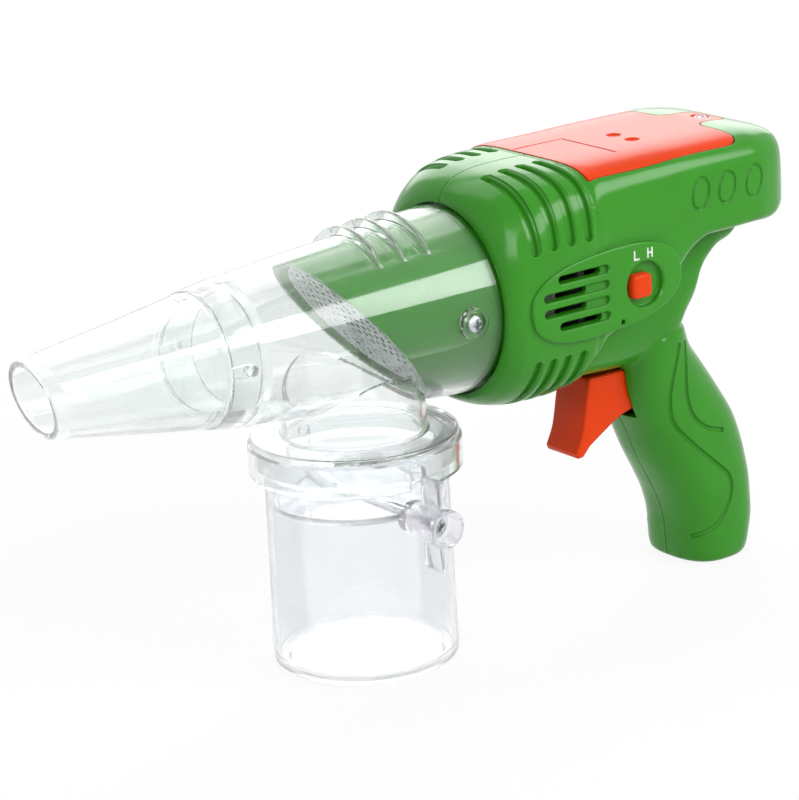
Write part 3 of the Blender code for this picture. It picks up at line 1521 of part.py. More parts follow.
def build_trigger_switch(material):
    """Push switch behind the trigger's tail, standing on the grip's rib."""
    depth, width, height = TRIGGER_SWITCH_SIZE
    rear = TRIGGER_TAIL_X + GAP + SPRING_LENGTH + GAP + SPRING_RIB
    high = SPRING_Z - SPRING_RADIUS - SPRING_RIB - GAP
    low = (rear - depth, -width / 2, high - height)
    switch = box("trigger_switch", low, (rear, width / 2, high))
    middle = high - height / 2
    plunger_end = TRIGGER_TAIL_X + TRIGGER_TRAVEL + GAP
    plunger = rod("plunger", width / 5, plunger_end, rear - depth / 2, "X", (0.0, 0.0, middle))
    combine(switch, plunger, "UNION")
    return finish(switch, material)


def button_x():
    """Middle of the button at rest, at the front end of its travel."""
    return SWITCH_X - BUTTON_TRAVEL / 2


def switch_body_face():
    """Outer face of the switch's body, just inside the housing's wall."""
    return body_point(SWITCH_X, 0.0)[0] - WALL - SWITCH_SEAT


def build_speed_button(material):
    """Sliding speed button: a square cap on a stem."""
    half = BUTTON_SIZE / 2
    x = button_x()
    floor = PANEL_FACE - SWITCH_RECESS_DEPTH + GAP
    top = PANEL_FACE + BUTTON_PROUD
    outline = power_outline(half, half, 5.0, HUB_STEPS, (x, SWITCH_Z))
    button = prism("speed_button", outline, "Y", -top, -floor)
    bevel_edges(button, 0.6, 1, 60.0)
    stem_end = switch_body_face() + GAP
    stem = rod("stem", BUTTON_STEM / 2, -(top + floor) / 2, -stem_end, "Y", (x, 0.0, SWITCH_Z))
    combine(button, stem, "UNION")
    return finish(button, material, (x, -PANEL_FACE, SWITCH_Z))


def build_speed_switch(material):
    """Slide switch body behind the panel, against the housing's wall."""
    length, depth, height = SWITCH_BODY
    face = switch_body_face()
    low = (SWITCH_X - length / 2, -face, SWITCH_Z - height / 2)
    switch = box("speed_switch", low, (SWITCH_X + length / 2, -face + depth, SWITCH_Z + height / 2))
    return finish(switch, material)


def main():
    clear_scene()
    clear_plastic = make_material("clear_plastic", (0.90, 0.95, 0.93), 0.05, 0.0, 1.0)
    jar_plastic = make_material("jar_plastic", (0.93, 0.93, 0.97), 0.05, 0.0, 1.0)
    lilac_plastic = make_material("lilac_plastic", (0.86, 0.84, 0.93), 0.08, 0.0, 1.0)
    green = make_material("green_plastic", (0.10, 0.40, 0.03), 0.22)
    orange = make_material("orange_plastic", (0.85, 0.13, 0.03), 0.30)
    black = make_material("black_plastic", (0.03, 0.03, 0.03), 0.45)
    white = make_material("white_plastic", (0.75, 0.75, 0.72), 0.40)
    zinc = make_material("zinc_steel", (0.62, 0.63, 0.66), 0.28, 1.0)
    mesh_steel = make_material("mesh_steel", (0.55, 0.56, 0.57), 0.40, 1.0)
    cell_jacket = make_material("cell_jacket", (0.16, 0.17, 0.20), 0.35, 0.4)

    build_nozzle(clear_plastic)
    build_tube(clear_plastic)
    build_tube_screws(zinc)
    build_filter_holder(green)
    build_net(mesh_steel)
    build_jar(jar_plastic)
    build_shutter(lilac_plastic)
    build_knob(lilac_plastic)
    build_knob_screw(zinc)
    build_housing(green, green)
    build_housing_screws(zinc)
    build_cover(orange)
    build_cover_screw(zinc)
    build_tray(black)
    build_cells(cell_jacket)
    build_contacts(zinc)
    build_motor_mount(black)
    build_motor(zinc)
    build_motor_shaft(zinc)
    build_impeller(white)
    build_trigger(orange)
    build_spring(zinc)
    build_trigger_switch(black)
    build_speed_button(orange)
    build_speed_switch(black)


main()
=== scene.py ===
"""Looks of the hand-held bug vacuum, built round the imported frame.

Pieces are drawn in millimetres in the frame's own axes and brought to metres by place().
"""
import math

import bmesh
import bpy
from mathutils import Matrix, Vector
from mathutils.bvhtree import BVHTree


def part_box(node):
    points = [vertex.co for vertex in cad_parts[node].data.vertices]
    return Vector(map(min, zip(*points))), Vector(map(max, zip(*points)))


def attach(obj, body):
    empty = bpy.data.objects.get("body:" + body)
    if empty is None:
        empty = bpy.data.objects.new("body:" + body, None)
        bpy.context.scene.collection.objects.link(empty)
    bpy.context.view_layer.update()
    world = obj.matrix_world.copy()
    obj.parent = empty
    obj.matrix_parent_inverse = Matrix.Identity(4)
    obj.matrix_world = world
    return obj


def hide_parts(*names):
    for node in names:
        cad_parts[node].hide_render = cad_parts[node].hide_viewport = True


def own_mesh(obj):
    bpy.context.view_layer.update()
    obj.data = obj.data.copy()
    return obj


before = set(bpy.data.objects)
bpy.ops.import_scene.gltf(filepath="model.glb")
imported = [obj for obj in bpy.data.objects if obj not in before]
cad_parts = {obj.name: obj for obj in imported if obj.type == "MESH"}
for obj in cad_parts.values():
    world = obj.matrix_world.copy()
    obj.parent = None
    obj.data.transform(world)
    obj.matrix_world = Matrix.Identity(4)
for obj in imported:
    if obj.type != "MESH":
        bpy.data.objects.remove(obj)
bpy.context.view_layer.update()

METRES = 0.001

# Fits and counts
GAP = 0.3
WALL = 2.4
ROUND_STEPS = 112
SMALL_STEPS = 40
RING_STEPS = 160
VOXEL = 0.6
SMOOTHING = 10

# Barrel
AXIS_Z = 100.0
COLLAR_X = -52.0
COLLAR_LENGTH = 9.5
SPIGOT_RADIUS = 17.9
SPIGOT_LENGTH = 10.3
COLLAR_RADIUS = 19.6
COLLAR_REAR_RADIUS = 21.1
NOZZLE_REAR_RADIUS = 19.2
NOZZLE_WALL = 1.6
NOZZLE_RIM = 1.9
NOZZLE_SHELF = 5.0
NOZZLE_LIP = 1.5
MOUTH_X = -103.5
MOUTH_RADIUS = 11.3
MOUTH_TILT = math.radians(13.8)
MOUTH_BLEND = 28.0
TUBE_REAR_X = 34.2
TUBE_REAR_RADIUS = 28.0
TUBE_INSERT = 7.0
TUBE_WALL = 1.8
LEAD_IN = 0.6
PEG_RADIUS = 1.3
PEG_HEIGHT = 1.0
PEG_X = COLLAR_X + 5.7
PEG_PLAY = 0.4
RIB_PLACES = (1.0, 9.0, 17.0)
RIB_WIDTH = 1.4
RIB_HEIGHT = 2.7
RIB_FALL = 0.75
RIB_SPREAD = math.radians(42.0)

# Jar, socket and shutter
JAR_RADIUS = 27.0
JAR_SHOULDER_RADIUS = 26.4
JAR_WALL = 1.6
JAR_FLOOR = 2.0
JAR_FOOT = 4.0
JAR_FOOT_RISE = 0.5
JAR_PEG_RADIUS = 2.0
JAR_PEG_Z = 62.0
GATE_MARK = ((-7.6, -4.6), (-4.6, -6.6), (-2.4, -8.6), (-3.4, -9.2), (-5.2, -7.4), (-8.0, -5.6))
GATE_MARK_ROOT = 0.5
GATE_MARK_HEIGHT = 0.4
NECK_RADIUS = 21.0
NECK_WALL = 1.6
FLANGE_TOP = 68.4
FLANGE_LOW = 66.4
FLANGE_RADIUS = 29.9
SKIRT_RADIUS = 30.8
SKIRT_WALL = 2.2
SKIRT_LOW = 57.2
BAND_RADIUS = SKIRT_RADIUS - SKIRT_WALL - GAP
JAR_TOP = FLANGE_LOW - GAP
SHUTTER_Z = 48.5
SHUTTER_RADIUS = 24.5
SHUTTER_THICKNESS = 1.8
SHUTTER_EDGE = (1.2, 1.6)
SHUTTER_STEP = 0.3
SHAFT_RADIUS = 2.2
BOSS_RADIUS = 4.9
BOSS_END = 29.2
KNOB_RADIUS = 4.6
KNOB_START = BOSS_END + GAP
HUB_END = KNOB_START + 7.6
CUP_RADIUS = 5.6
CUP_WALL = 1.1
CUP_END = HUB_END + 6.0
KNOB_FLOOR = 1.2
WING_REACH = 13.5
WING_FRONT = 32.0
WING_BACK = 41.0
WING_THICKNESS = 1.6
WING_CORNER = 2.2

# Screws
SCREW_RADIUS = 1.1
SCREW_LENGTH = 6.0
COVER_SCREW_LENGTH = 5.0
HEAD_RADIUS = 2.5
HEAD_HEIGHT = 1.6
CROSS_HALF = 1.6
CROSS_WIDTH = 1.2
CROSS_DEPTH = 1.8
CROSS_TAPER = ((CROSS_DEPTH, 0.75), (-0.2, 1.1))
TUBE_SCREW_X = 24.0
TUBE_BOSS_RADIUS = 4.6
TUBE_WELL_RADIUS = 3.5
TUBE_BOSS_PROUD = 1.7

# Filter
HOLDER_WALL = 2.0
HOLDER_CUT = math.radians(49.0)
HOLDER_CUT_Z = 97.9
HOLDER_FLANGE = 2.4
NET_LEVEL = 2.4
NET_PITCH = 2.2
NET_WIRE = 0.28
NET_LEAN = math.radians(38.0)
NET_BORDER = 0.5
NET_BORDER_WIRE = 0.4
NET_BORDER_STEPS = 120
HOLDER_EDGE = 0.5

# Housing
BODY_FRONT = TUBE_REAR_X
BODY_REAR = 148.0
BODY_TOP = 137.0
DRUM_HALF_WIDTH = 33.3
DRUM_LOW = 66.5
DRUM_LENGTH = 31.3
DRUM_CROWN = 9.0
DRUM_BELLY = 5.5
GROOVE_X = 65.5
GROOVE_DEPTH = 0.9
HEAD_HALF_WIDTH = 31.7
HEAD_LOW = 108.5
HEAD_DEPTH = BODY_TOP - HEAD_LOW
HEAD_MIDDLE = 113.5
HEAD_LENGTH = BODY_REAR - GROOVE_X
CROWN_POWER = 6.0
NECK_POWER = 3.0
GRIP_POWER = 2.6
NECK_BEND = 0.55
SEAT_WALL_X = 44.2
SEAT_WALL = 2.0
SEAT_BORE = 24.0
GRIP_X = 115.5
GRIP_DEPTH = 32.0
GRIP_TOP = 79.0
GRIP_HALF_WIDTH = 16.0
NECK_HALF_WIDTH = 17.5
NECK_LOW = 67.5
SPLIT_GAP = 0.3

# Side panel, slots and switch
PANEL_X = 67.7
PANEL_Z = 101.5
PANEL_HALF_LENGTH = 27.7
PANEL_HALF_HEIGHT = 12.2
PANEL_POWER = 2.5
PANEL_FACE = 34.2
PANEL_TILT = math.radians(4.0)
PANEL_EDGE = 0.6
SLOT_PITCH = 4.6
SLOT_HEIGHT = 2.4
SLOT_REAR_X = 68.2
SLOT_LENGTHS = (18.4, 23.8, 23.8, 18.4)
SLOT_OPEN = 16.0
SLOT_SHALLOW = 1.2
SLOT_LIP = 0.35
CORNER_SLOTS = 4
CORNER_SLOT_HALF = 1.3
CORNER_SLOT_DEPTH = 1.5
CORNER_SLOT_LIP = 0.7
UPPER_SLOTS = (43.4, 6.3, math.radians(25.0), math.radians(75.0))
LOWER_SLOTS = (44.0, 5.4, math.radians(-70.0), math.radians(-26.0))
SWITCH_X = 81.6
SWITCH_Z = 101.0
SWITCH_RADIUS = 6.7
SWITCH_DEPTH = 2.0
SWITCH_LIP = 0.5
BUTTON_SIZE = 7.2
BUTTON_PROUD = 1.4
BUTTON_TRAVEL = 4.0
BUTTON_STEM = 3.0
BUTTON_POWER = 5.0
BUTTON_CROWN = ((1.1, 0.0), (0.6, 0.15), (0.2, 0.55), (0.05, 1.1), (0.0, 1.8))
LETTER_HEIGHT = 3.0
LETTER_WIDTH = 2.1
LETTER_BAR = 0.55
LETTER_Z = 108.7
LETTER_PLACES = (78.4, 83.4)
LETTER_SINK = 0.05
LETTER_PROUD = 0.08
PIN_HOLE = (72.7, 0.0, 91.5)
PIN_HOLE_RADIUS = 0.8
PIN_HOLE_DEPTH = 1.5

# Battery cover
COVER_FRONT = 66.7
COVER_REAR = 124.2
COVER_HALF_WIDTH = 28.0
COVER_THICKNESS = 2.2
TAB_REAR = 137.7
TAB_HALF_WIDTH = 7.5
TAB_BOSS_RADIUS = 3.6
TAB_BOSS_DEPTH = 2.0
COVER_SCREW_X = 133.5
COVER_SCREW_PLAY = 0.9
COVER_EDGE = 6.0
COVER_LINE = ((67.5, 7.2), (85.5, 7.2), (85.5, -18.0))
COVER_DIMPLE_X = 99.0
COVER_DIMPLES = (-0.7, -9.2)
COVER_LINE_RADIUS = 0.4
DIMPLE_PROFILE = ((0.0, -0.8), (1.7, -0.6), (2.5, 0.1), (2.5, 2.0), (0.0, 2.0))
COVER_WELL_LIP = 0.6
PILOT_DEPTH = 12.0

# Trigger
TRIGGER_TAIL_X = 99.0
TRIGGER_TOP = 66.8
TRIGGER_REACH = 24.0
TRIGGER_DROP = 24.0
TRIGGER_HALF_WIDTH = 7.5
TRIGGER_TRAVEL = 6.0
TRIGGER_EDGE = 1.0
TRIGGER_SLOT = (0.54, 0.664)
SPRING_Z = 62.0
SPRING_RADIUS = 2.8
SPRING_WIRE = 0.35
SPRING_TURNS = 6
SPRING_END = 112.3
SPRING_RIB = 2.0

# Screws that hold the halves, driven from the far side: places along X and Z
HOUSING_SCREWS = ((53.0, 128.5), (65.6, 76.5), (139.0, 117.5), (119.0, 46.0), (126.0, 13.0))
HOUSING_SCREW_SEAT = 8.3
HOUSING_SCREW_LENGTH = 15.0
HOUSING_BOSS_RADIUS = 4.2

# Moulded lines on the grip, as side-view points (x, z)
GRIP_LINE_RADIUS = 0.7
GRIP_PANEL_LINE = (
    (108.5, 74.0), (106.0, 65.0), (105.0, 57.0), (107.0, 48.5), (114.0, 40.5),
    (122.0, 33.0), (127.5, 27.5), (128.0, 21.5), (123.5, 13.5), (116.5, 9.0),
)
GRIP_THUMB_LINE = ((111.5, 74.0), (111.0, 65.0), (111.5, 56.0), (114.0, 49.5), (119.0, 45.0), (126.0, 42.5))
HEAD_RINGS = (105.5, 115.7, 126.5)
HEAD_RING_Z = 123.0
HEAD_RING_HALF = (3.0, 4.6)
HEAD_RING_LEAN = math.radians(-14.0)
HEAD_RING_POWER = 2.2
HEAD_RING_RADIUS = 0.5

# Camera, read from the photograph
CAMERA_BACK = Vector((-0.55585, -0.77754, 0.29404))
CAMERA_RIGHT = Vector((0.80302, -0.59368, -0.05185))
CAMERA_DISTANCE = 1000.0
CAMERA_SHIFT = (9.472, 73.464)
CAMERA_LENS = 154.5
CAMERA_SENSOR = 36.0
CAMERA_END = 50.0


# Mesh helpers

def new_object(name, bm):
    """Object from a bmesh, with its faces turned outward."""
    bmesh.ops.recalc_face_normals(bm, faces=bm.faces)
    mesh = bpy.data.meshes.new(name)
    bm.to_mesh(mesh)
    bm.free()
    obj = bpy.data.objects.new(name, mesh)
    bpy.context.scene.collection.objects.link(obj)
    return obj


def place(obj, body, nodes, slot, materials, smooth=30.0):
    """Bring a finished piece to metres, give it its material and set what it rides on and stands for."""
    mesh = obj.data
    mesh.materials.clear()
    mesh.materials.append(materials[slot])
    mesh.shade_smooth()
    mesh.set_sharp_from_angle(angle=math.radians(smooth))
    mesh.transform(Matrix.Scale(METRES, 4))
    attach(obj, body)
    if nodes:
        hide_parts(*nodes)
    return obj


def apply_modifiers(obj):
    """Replace a mesh by what its modifiers make of it."""
    bpy.context.view_layer.update()
    graph = bpy.context.evaluated_depsgraph_get()
    mesh = bpy.data.meshes.new_from_object(obj.evaluated_get(graph))
    obj.modifiers.clear()
    obj.data = mesh
    return obj


def combine(obj, tool, operation="DIFFERENCE", solver="MANIFOLD"):
    """Boolean of two objects, applied."""
    modifier = obj.modifiers.new("combine", "BOOLEAN")
    modifier.object = tool
    modifier.operation = operation
    modifier.solver = solver
    apply_modifiers(obj)
    bpy.data.objects.remove(tool, do_unlink=True)
    return obj


def joined(name, pieces):
    """One object from several that don't touch."""
    bm = bmesh.new()
    for piece in pieces:
        bm.from_mesh(piece.data)
        bpy.data.objects.remove(piece, do_unlink=True)
    return new_object(name, bm)


def copy_of(obj, name):
    """Twin of an object with a mesh of its own."""
    twin = bpy.data.objects.new(name, obj.data.copy())
    bpy.context.scene.collection.objects.link(twin)
    return twin


def mirrored(obj):
    """Twin of a piece on the other side of the middle plane."""
    twin = copy_of(obj, obj.name + "_far")
    bm = bmesh.new()
    bm.from_mesh(twin.data)
    bm.transform(Matrix.Scale(-1.0, 4, (0.0, 1.0, 0.0)))
    bmesh.ops.reverse_faces(bm, faces=bm.faces)
    bm.to_mesh(twin.data)
    bm.free()
    return twin


AXIS_TURN = {
    "X": Matrix.Rotation(math.pi / 2, 4, "Y"),
    "Y": Matrix.Rotation(-math.pi / 2, 4, "X"),
    "Z": Matrix.Identity(4),
}


def lathe(name, profile, axis="Z", centre=(0.0, 0.0, 0.0), steps=ROUND_STEPS):
    """Turned piece from (radius, height) points; the profile closes on the axis or on itself."""
    bm = bmesh.new()
    c = math.cos(math.pi / steps)
    s = math.sin(math.pi / steps)
    verts = [bm.verts.new((radius * c, radius * s, height)) for radius, height in profile]
    edges = [bm.edges.new(pair) for pair in zip(verts, verts[1:])]
    if profile[0][0] > 0.0:
        edges.append(bm.edges.new((verts[-1], verts[0])))
    bmesh.ops.spin(
        bm, geom=verts + edges, cent=(0, 0, 0), axis=(0, 0, 1),
        angle=2 * math.pi, steps=steps, use_merge=True,
    )
    bmesh.ops.remove_doubles(bm, verts=bm.verts, dist=1e-4)
    bm.transform(Matrix.Translation(centre) @ AXIS_TURN[axis])
    return new_object(name, bm)


def rod(name, radius, low, high, axis="Z", centre=(0.0, 0.0, 0.0), steps=SMALL_STEPS):
    return lathe(name, [(0.0, low), (radius, low), (radius, high), (0.0, high)], axis, centre, steps)


def rounded(corners, steps=5):
    """Closed outline whose corners (a, b, fillet) are rounded where the fillet isn't zero."""
    points = []
    count = len(corners)
    for i, (a, b, fillet) in enumerate(corners):
        corner = Vector((a, b))
        if fillet == 0.0:
            points.append((a, b))
            continue
        back = Vector(corners[i - 1][:2]) - corner
        ahead = Vector(corners[(i + 1) % count][:2]) - corner
        reach = fillet / math.tan(back.angle(ahead) / 2)
        reach = min(reach, 0.49 * back.length, 0.49 * ahead.length)
        start = corner + back.normalized() * reach
        end = corner + ahead.normalized() * reach
        for j in range(steps + 1):
            t = j / steps
            point = start * (1 - t) ** 2 + corner * 2 * t * (1 - t) + end * t ** 2
            points.append((point.x, point.y))
    return points


def spline(points, steps=8):
    """Smooth open line through points of any dimension."""
    places = [Vector(p) for p in points]
    places = [2 * places[0] - places[1]] + places + [2 * places[-1] - places[-2]]
    line = []
    for a, b, c, d in zip(places, places[1:], places[2:], places[3:]):
        for j in range(steps):
            t = j / steps
            line.append(0.5 * (2 * b + (c - a) * t + (2 * a - 5 * b + 4 * c - d) * t ** 2
                               + (3 * b - a - 3 * c + d) * t ** 3))
    line.append(places[-2])
    return line


def prism(name, outline, axis, low, high):
    """Outline extruded along an axis. The outline's two numbers are the other axes in X, Y, Z order."""
    rings = []
    for height in (low, high):
        rings.append([along(axis, a, b, height) for a, b in outline])
    return loft(name, rings)


def along(axis, a, b, height):
    """Point at a height on an axis; a and b are the other axes in X, Y, Z order."""
    return {"X": (height, a, b), "Y": (a, height, b), "Z": (a, b, height)}[axis]


def box(name, low, high):
    outline = [(low[0], low[1]), (high[0], low[1]), (high[0], high[1]), (low[0], high[1])]
    return prism(name, outline, "Z", low[2], high[2])


def loft(name, rings):
    """Skin through rings of equal count, with flat ends."""
    bm = bmesh.new()
    rows = [[bm.verts.new(point) for point in ring] for ring in rings]
    count = len(rows[0])
    for row, after in zip(rows, rows[1:]):
        for i in range(count):
            j = (i + 1) % count
            bm.faces.new((row[i], row[j], after[j], after[i]))
    bm.faces.new(rows[0])
    bm.faces.new(rows[-1])
    return new_object(name, bm)


def pipe(name, points, radius, sides=10, closed=False):
    """Round wire along a line of points."""
    points = [Vector(p) for p in points]
    count = len(points)
    rings = []
    across = None
    for i, point in enumerate(points):
        before = points[i - 1] if closed or i else point
        after = points[(i + 1) % count] if closed or i < count - 1 else point
        forward = (after - before).normalized()
        if across is None:
            across = forward.orthogonal().normalized()
        across = (across - forward * across.dot(forward)).normalized()
        up = forward.cross(across)
        turns = [2 * math.pi * j / sides for j in range(sides)]
        rings.append([point + radius * (across * math.cos(a) + up * math.sin(a)) for a in turns])
    if not closed:
        return loft(name, rings)
    bm = bmesh.new()
    rows = [[bm.verts.new(point) for point in ring] for ring in rings]
    for i, row in enumerate(rows):
        after = rows[(i + 1) % count]
        for j in range(sides):
            k = (j + 1) % sides
            bm.faces.new((row[j], row[k], after[k], after[j]))
    return new_object(name, bm)


def bevel_edges(obj, width, segments=3, angle=40.0):
    """Round the edges that are sharper than the angle."""
    bm = bmesh.new()
    bm.from_mesh(obj.data)
    sharp = [e for e in bm.edges if e.is_manifold and e.calc_face_angle() > math.radians(angle)]
    bmesh.ops.bevel(
        bm, geom=sharp, offset=width, segments=segments, profile=0.5,
        affect="EDGES", clamp_overlap=True,
    )
    bm.to_mesh(obj.data)
    bm.free()
    return obj


def power_point(angle, half_a, half_b, power):
    """Point of a superellipse, a rounded rectangle whose corners tighten with the power."""
    c = math.cos(angle)
    s = math.sin(angle)
    return (
        half_a * math.copysign(abs(c) ** (2 / power), c),
        half_b * math.copysign(abs(s) ** (2 / power), s),
    )


def power_outline(half_a, half_b, power, count, centre=(0.0, 0.0), tilt=0.0):
    """Superellipse outline round a centre, turned by a tilt."""
    points = []
    for i in range(count):
        a, b = power_point(2 * math.pi * (i + 0.5) / count, half_a, half_b, power)
        points.append((
            centre[0] + a * math.cos(tilt) - b * math.sin(tilt),
            centre[1] + a * math.sin(tilt) + b * math.cos(tilt),
        ))
    return points


def stadium(low, high, level, height, count=10):
    """Slot outline with round ends, running from low to high along its first axis."""
    radius = height / 2
    points = []
    for end, start in ((high - radius, -math.pi / 2), (low + radius, math.pi / 2)):
        for i in range(count + 1):
            angle = start + math.pi * i / count
            points.append((end + radius * math.cos(angle), level + radius * math.sin(angle)))
    return points


def between(value, rows):
    """Straight-line reading of a table whose first column rises."""
    for before, after in zip(rows, rows[1:]):
        if value <= after[0]:
            break
    share = (value - before[0]) / (after[0] - before[0])
    return [b + (a - b) * share for b, a in zip(before, after)]


def smooth_between(value, rows):
    """Smooth reading of a table whose first column rises, with no overshoot."""
    i = 0
    while i < len(rows) - 2 and value > rows[i + 1][0]:
        i += 1
    width = rows[i + 1][0] - rows[i][0]
    t = (value - rows[i][0]) / width
    result = [value]
    for column in range(1, len(rows[0])):
        start = rows[i][column]
        end = rows[i + 1][column]
        first = tangent(rows, i, column) * width
        last = tangent(rows, i + 1, column) * width
        rise = end - start
        result.append(
            start + first * t + (3 * rise - 2 * first - last) * t ** 2
            + (first + last - 2 * rise) * t ** 3
        )
    return result


def tangent(rows, i, column):
    """Slope at a row, zero where the column turns round."""
    if i in (0, len(rows) - 1):
        a, b = (0, 1) if i == 0 else (i - 1, i)
        return (rows[b][column] - rows[a][column]) / (rows[b][0] - rows[a][0])
    before = (rows[i][column] - rows[i - 1][column]) / (rows[i][0] - rows[i - 1][0])
    after = (rows[i + 1][column] - rows[i][column]) / (rows[i + 1][0] - rows[i][0])
    if before * after <= 0.0:
        return 0.0
    return 2 * before * after / (before + after)


# Materials

NOISE_LOW = 0.3
NOISE_HIGH = 0.7
CLEAR_IOR = 1.47
CLEAR_ALPHA = 0.88


def start_material(name):
    """New material with its shader and its texture coordinates."""
    material = bpy.data.materials.new(name)
    material.use_nodes = True
    nodes = material.node_tree.nodes
    shader = nodes["Principled BSDF"]
    coordinates = nodes.new("ShaderNodeTexCoord")
    return material, shader, coordinates


def noise(material, coordinates, scale, detail=3.0):
    """Noise in the piece's own space; the scale is in cells per metre."""
    node = material.node_tree.nodes.new("ShaderNodeTexNoise")
    node.inputs["Scale"].default_value = scale
    node.inputs["Detail"].default_value = detail
    material.node_tree.links.new(coordinates.outputs["Object"], node.inputs["Vector"])
    return node.outputs["Fac"]


def spread(material, value, low, high, socket):
    """Send a noise to a socket, spread from low to high."""
    node = material.node_tree.nodes.new("ShaderNodeMapRange")
    node.inputs["From Min"].default_value = NOISE_LOW
    node.inputs["From Max"].default_value = NOISE_HIGH
    node.inputs["To Min"].default_value = low
    node.inputs["To Max"].default_value = high
    material.node_tree.links.new(value, node.inputs["Value"])
    material.node_tree.links.new(node.outputs["Result"], socket)


def tint(material, value, low, high, socket):
    """Send a noise to a colour socket, from one colour to another."""
    node = material.node_tree.nodes.new("ShaderNodeValToRGB")
    node.color_ramp.elements[0].position = NOISE_LOW
    node.color_ramp.elements[0].color = (*low, 1.0)
    node.color_ramp.elements[1].position = NOISE_HIGH
    node.color_ramp.elements[1].color = (*high, 1.0)
    material.node_tree.links.new(value, node.inputs["Fac"])
    material.node_tree.links.new(node.outputs["Color"], socket)


def bump(material, value, distance, shader, edge=0.0):
    """Small relief from a noise, over edges softened by a small radius."""
    nodes = material.node_tree.nodes
    links = material.node_tree.links
    node = nodes.new("ShaderNodeBump")
    node.inputs["Strength"].default_value = 1.0
    node.inputs["Distance"].default_value = distance
    links.new(value, node.inputs["Height"])
    if edge:
        soft = nodes.new("ShaderNodeBevel")
        soft.samples = 4
        soft.inputs["Radius"].default_value = edge
        links.new(soft.outputs["Normal"], node.inputs["Normal"])
    links.new(node.outputs["Normal"], shader.inputs["Normal"])


def moulded(name, colour, roughness, gloss=0.3, grain=0.0000015, edge=0.0005):
    """Opaque moulded plastic: faint flow tint, uneven gloss, fine grain and softened edges."""
    material, shader, coordinates = start_material(name)
    low = [c * 0.96 for c in colour]
    high = [min(c * 1.04, 1.0) for c in colour]
    tint(material, noise(material, coordinates, 70.0), low, high, shader.inputs["Base Color"])
    shader.inputs["Specular IOR Level"].default_value = gloss
    uneven = noise(material, coordinates, 420.0)
    spread(material, uneven, roughness * 0.92, roughness * 1.08, shader.inputs["Roughness"])
    bump(material, noise(material, coordinates, 2600.0, 2.0), grain, shader, edge)
    return material


def clear(name, low, high, roughness):
    """Clear moulded plastic: a faint tint, slightly uneven gloss and slow waves in the wall."""
    material, shader, coordinates = start_material(name)
    tint(material, noise(material, coordinates, 40.0), low, high, shader.inputs["Base Color"])
    uneven = noise(material, coordinates, 300.0)
    spread(material, uneven, roughness * 0.5, roughness * 1.5, shader.inputs["Roughness"])
    shader.inputs["Transmission Weight"].default_value = 1.0
    shader.inputs["IOR"].default_value = CLEAR_IOR
    shader.inputs["Alpha"].default_value = CLEAR_ALPHA
    bump(material, noise(material, coordinates, 90.0, 1.0), 0.00002, shader)
    return material


def metal(name, colour, roughness):
    """Plated steel: fine scratches of gloss over a faint cloudy tint."""
    material, shader, coordinates = start_material(name)
    low = [c * 0.82 for c in colour]
    tint(material, noise(material, coordinates, 900.0), low, colour, shader.inputs["Base Color"])
    uneven = noise(material, coordinates, 3000.0, 5.0)
    spread(material, uneven, roughness * 0.7, roughness * 1.4, shader.inputs["Roughness"])
    shader.inputs["Metallic"].default_value = 1.0
    bump(material, noise(material, coordinates, 5000.0), 0.000003, shader)
    return material


# Clear plastics: darkest and lightest tint, roughness
CLEAR_LOOKS = {
    "clear_plastic": ((0.90, 0.94, 0.93), (0.95, 0.975, 0.965), 0.012),
    "jar_plastic": ((0.92, 0.94, 0.96), (0.96, 0.97, 0.985), 0.010),
    "lilac_plastic": ((0.93, 0.92, 0.97), (0.96, 0.95, 0.985), 0.04),
}

# Opaque plastics and paint: colour, roughness and, where it isn't the usual one, gloss
MOULDED_LOOKS = {
    "green_plastic": ((0.029, 0.235, 0.008), 0.18),
    "orange_plastic": ((0.68, 0.045, 0.002), 0.22, 0.12),
    "black_plastic": ((0.025, 0.025, 0.027), 0.45),
    "white_plastic": ((0.78, 0.78, 0.75), 0.40),
    "mesh_steel": ((0.88, 0.93, 0.91), 0.35),
    "cell_jacket": ((0.10, 0.11, 0.14), 0.30),
}

# Bare metals: colour and roughness
METAL_LOOKS = {"zinc_steel": ((0.66, 0.68, 0.70), 0.26)}


def make_materials():
    materials = {}
    for make, looks in ((clear, CLEAR_LOOKS), (moulded, MOULDED_LOOKS), (metal, METAL_LOOKS)):
        for name, look in looks.items():
            materials[name] = make(name, *look)
    return materials


# Barrel

def tube_radius(x):
    """Outer radius of the conical tube at x."""
    rows = (
        (COLLAR_X, COLLAR_RADIUS),
        (COLLAR_X + COLLAR_LENGTH, COLLAR_REAR_RADIUS),
        (TUBE_REAR_X, TUBE_REAR_RADIUS),
        (TUBE_REAR_X + TUBE_INSERT, TUBE_REAR_RADIUS),
    )
    return between(x, rows)[1]


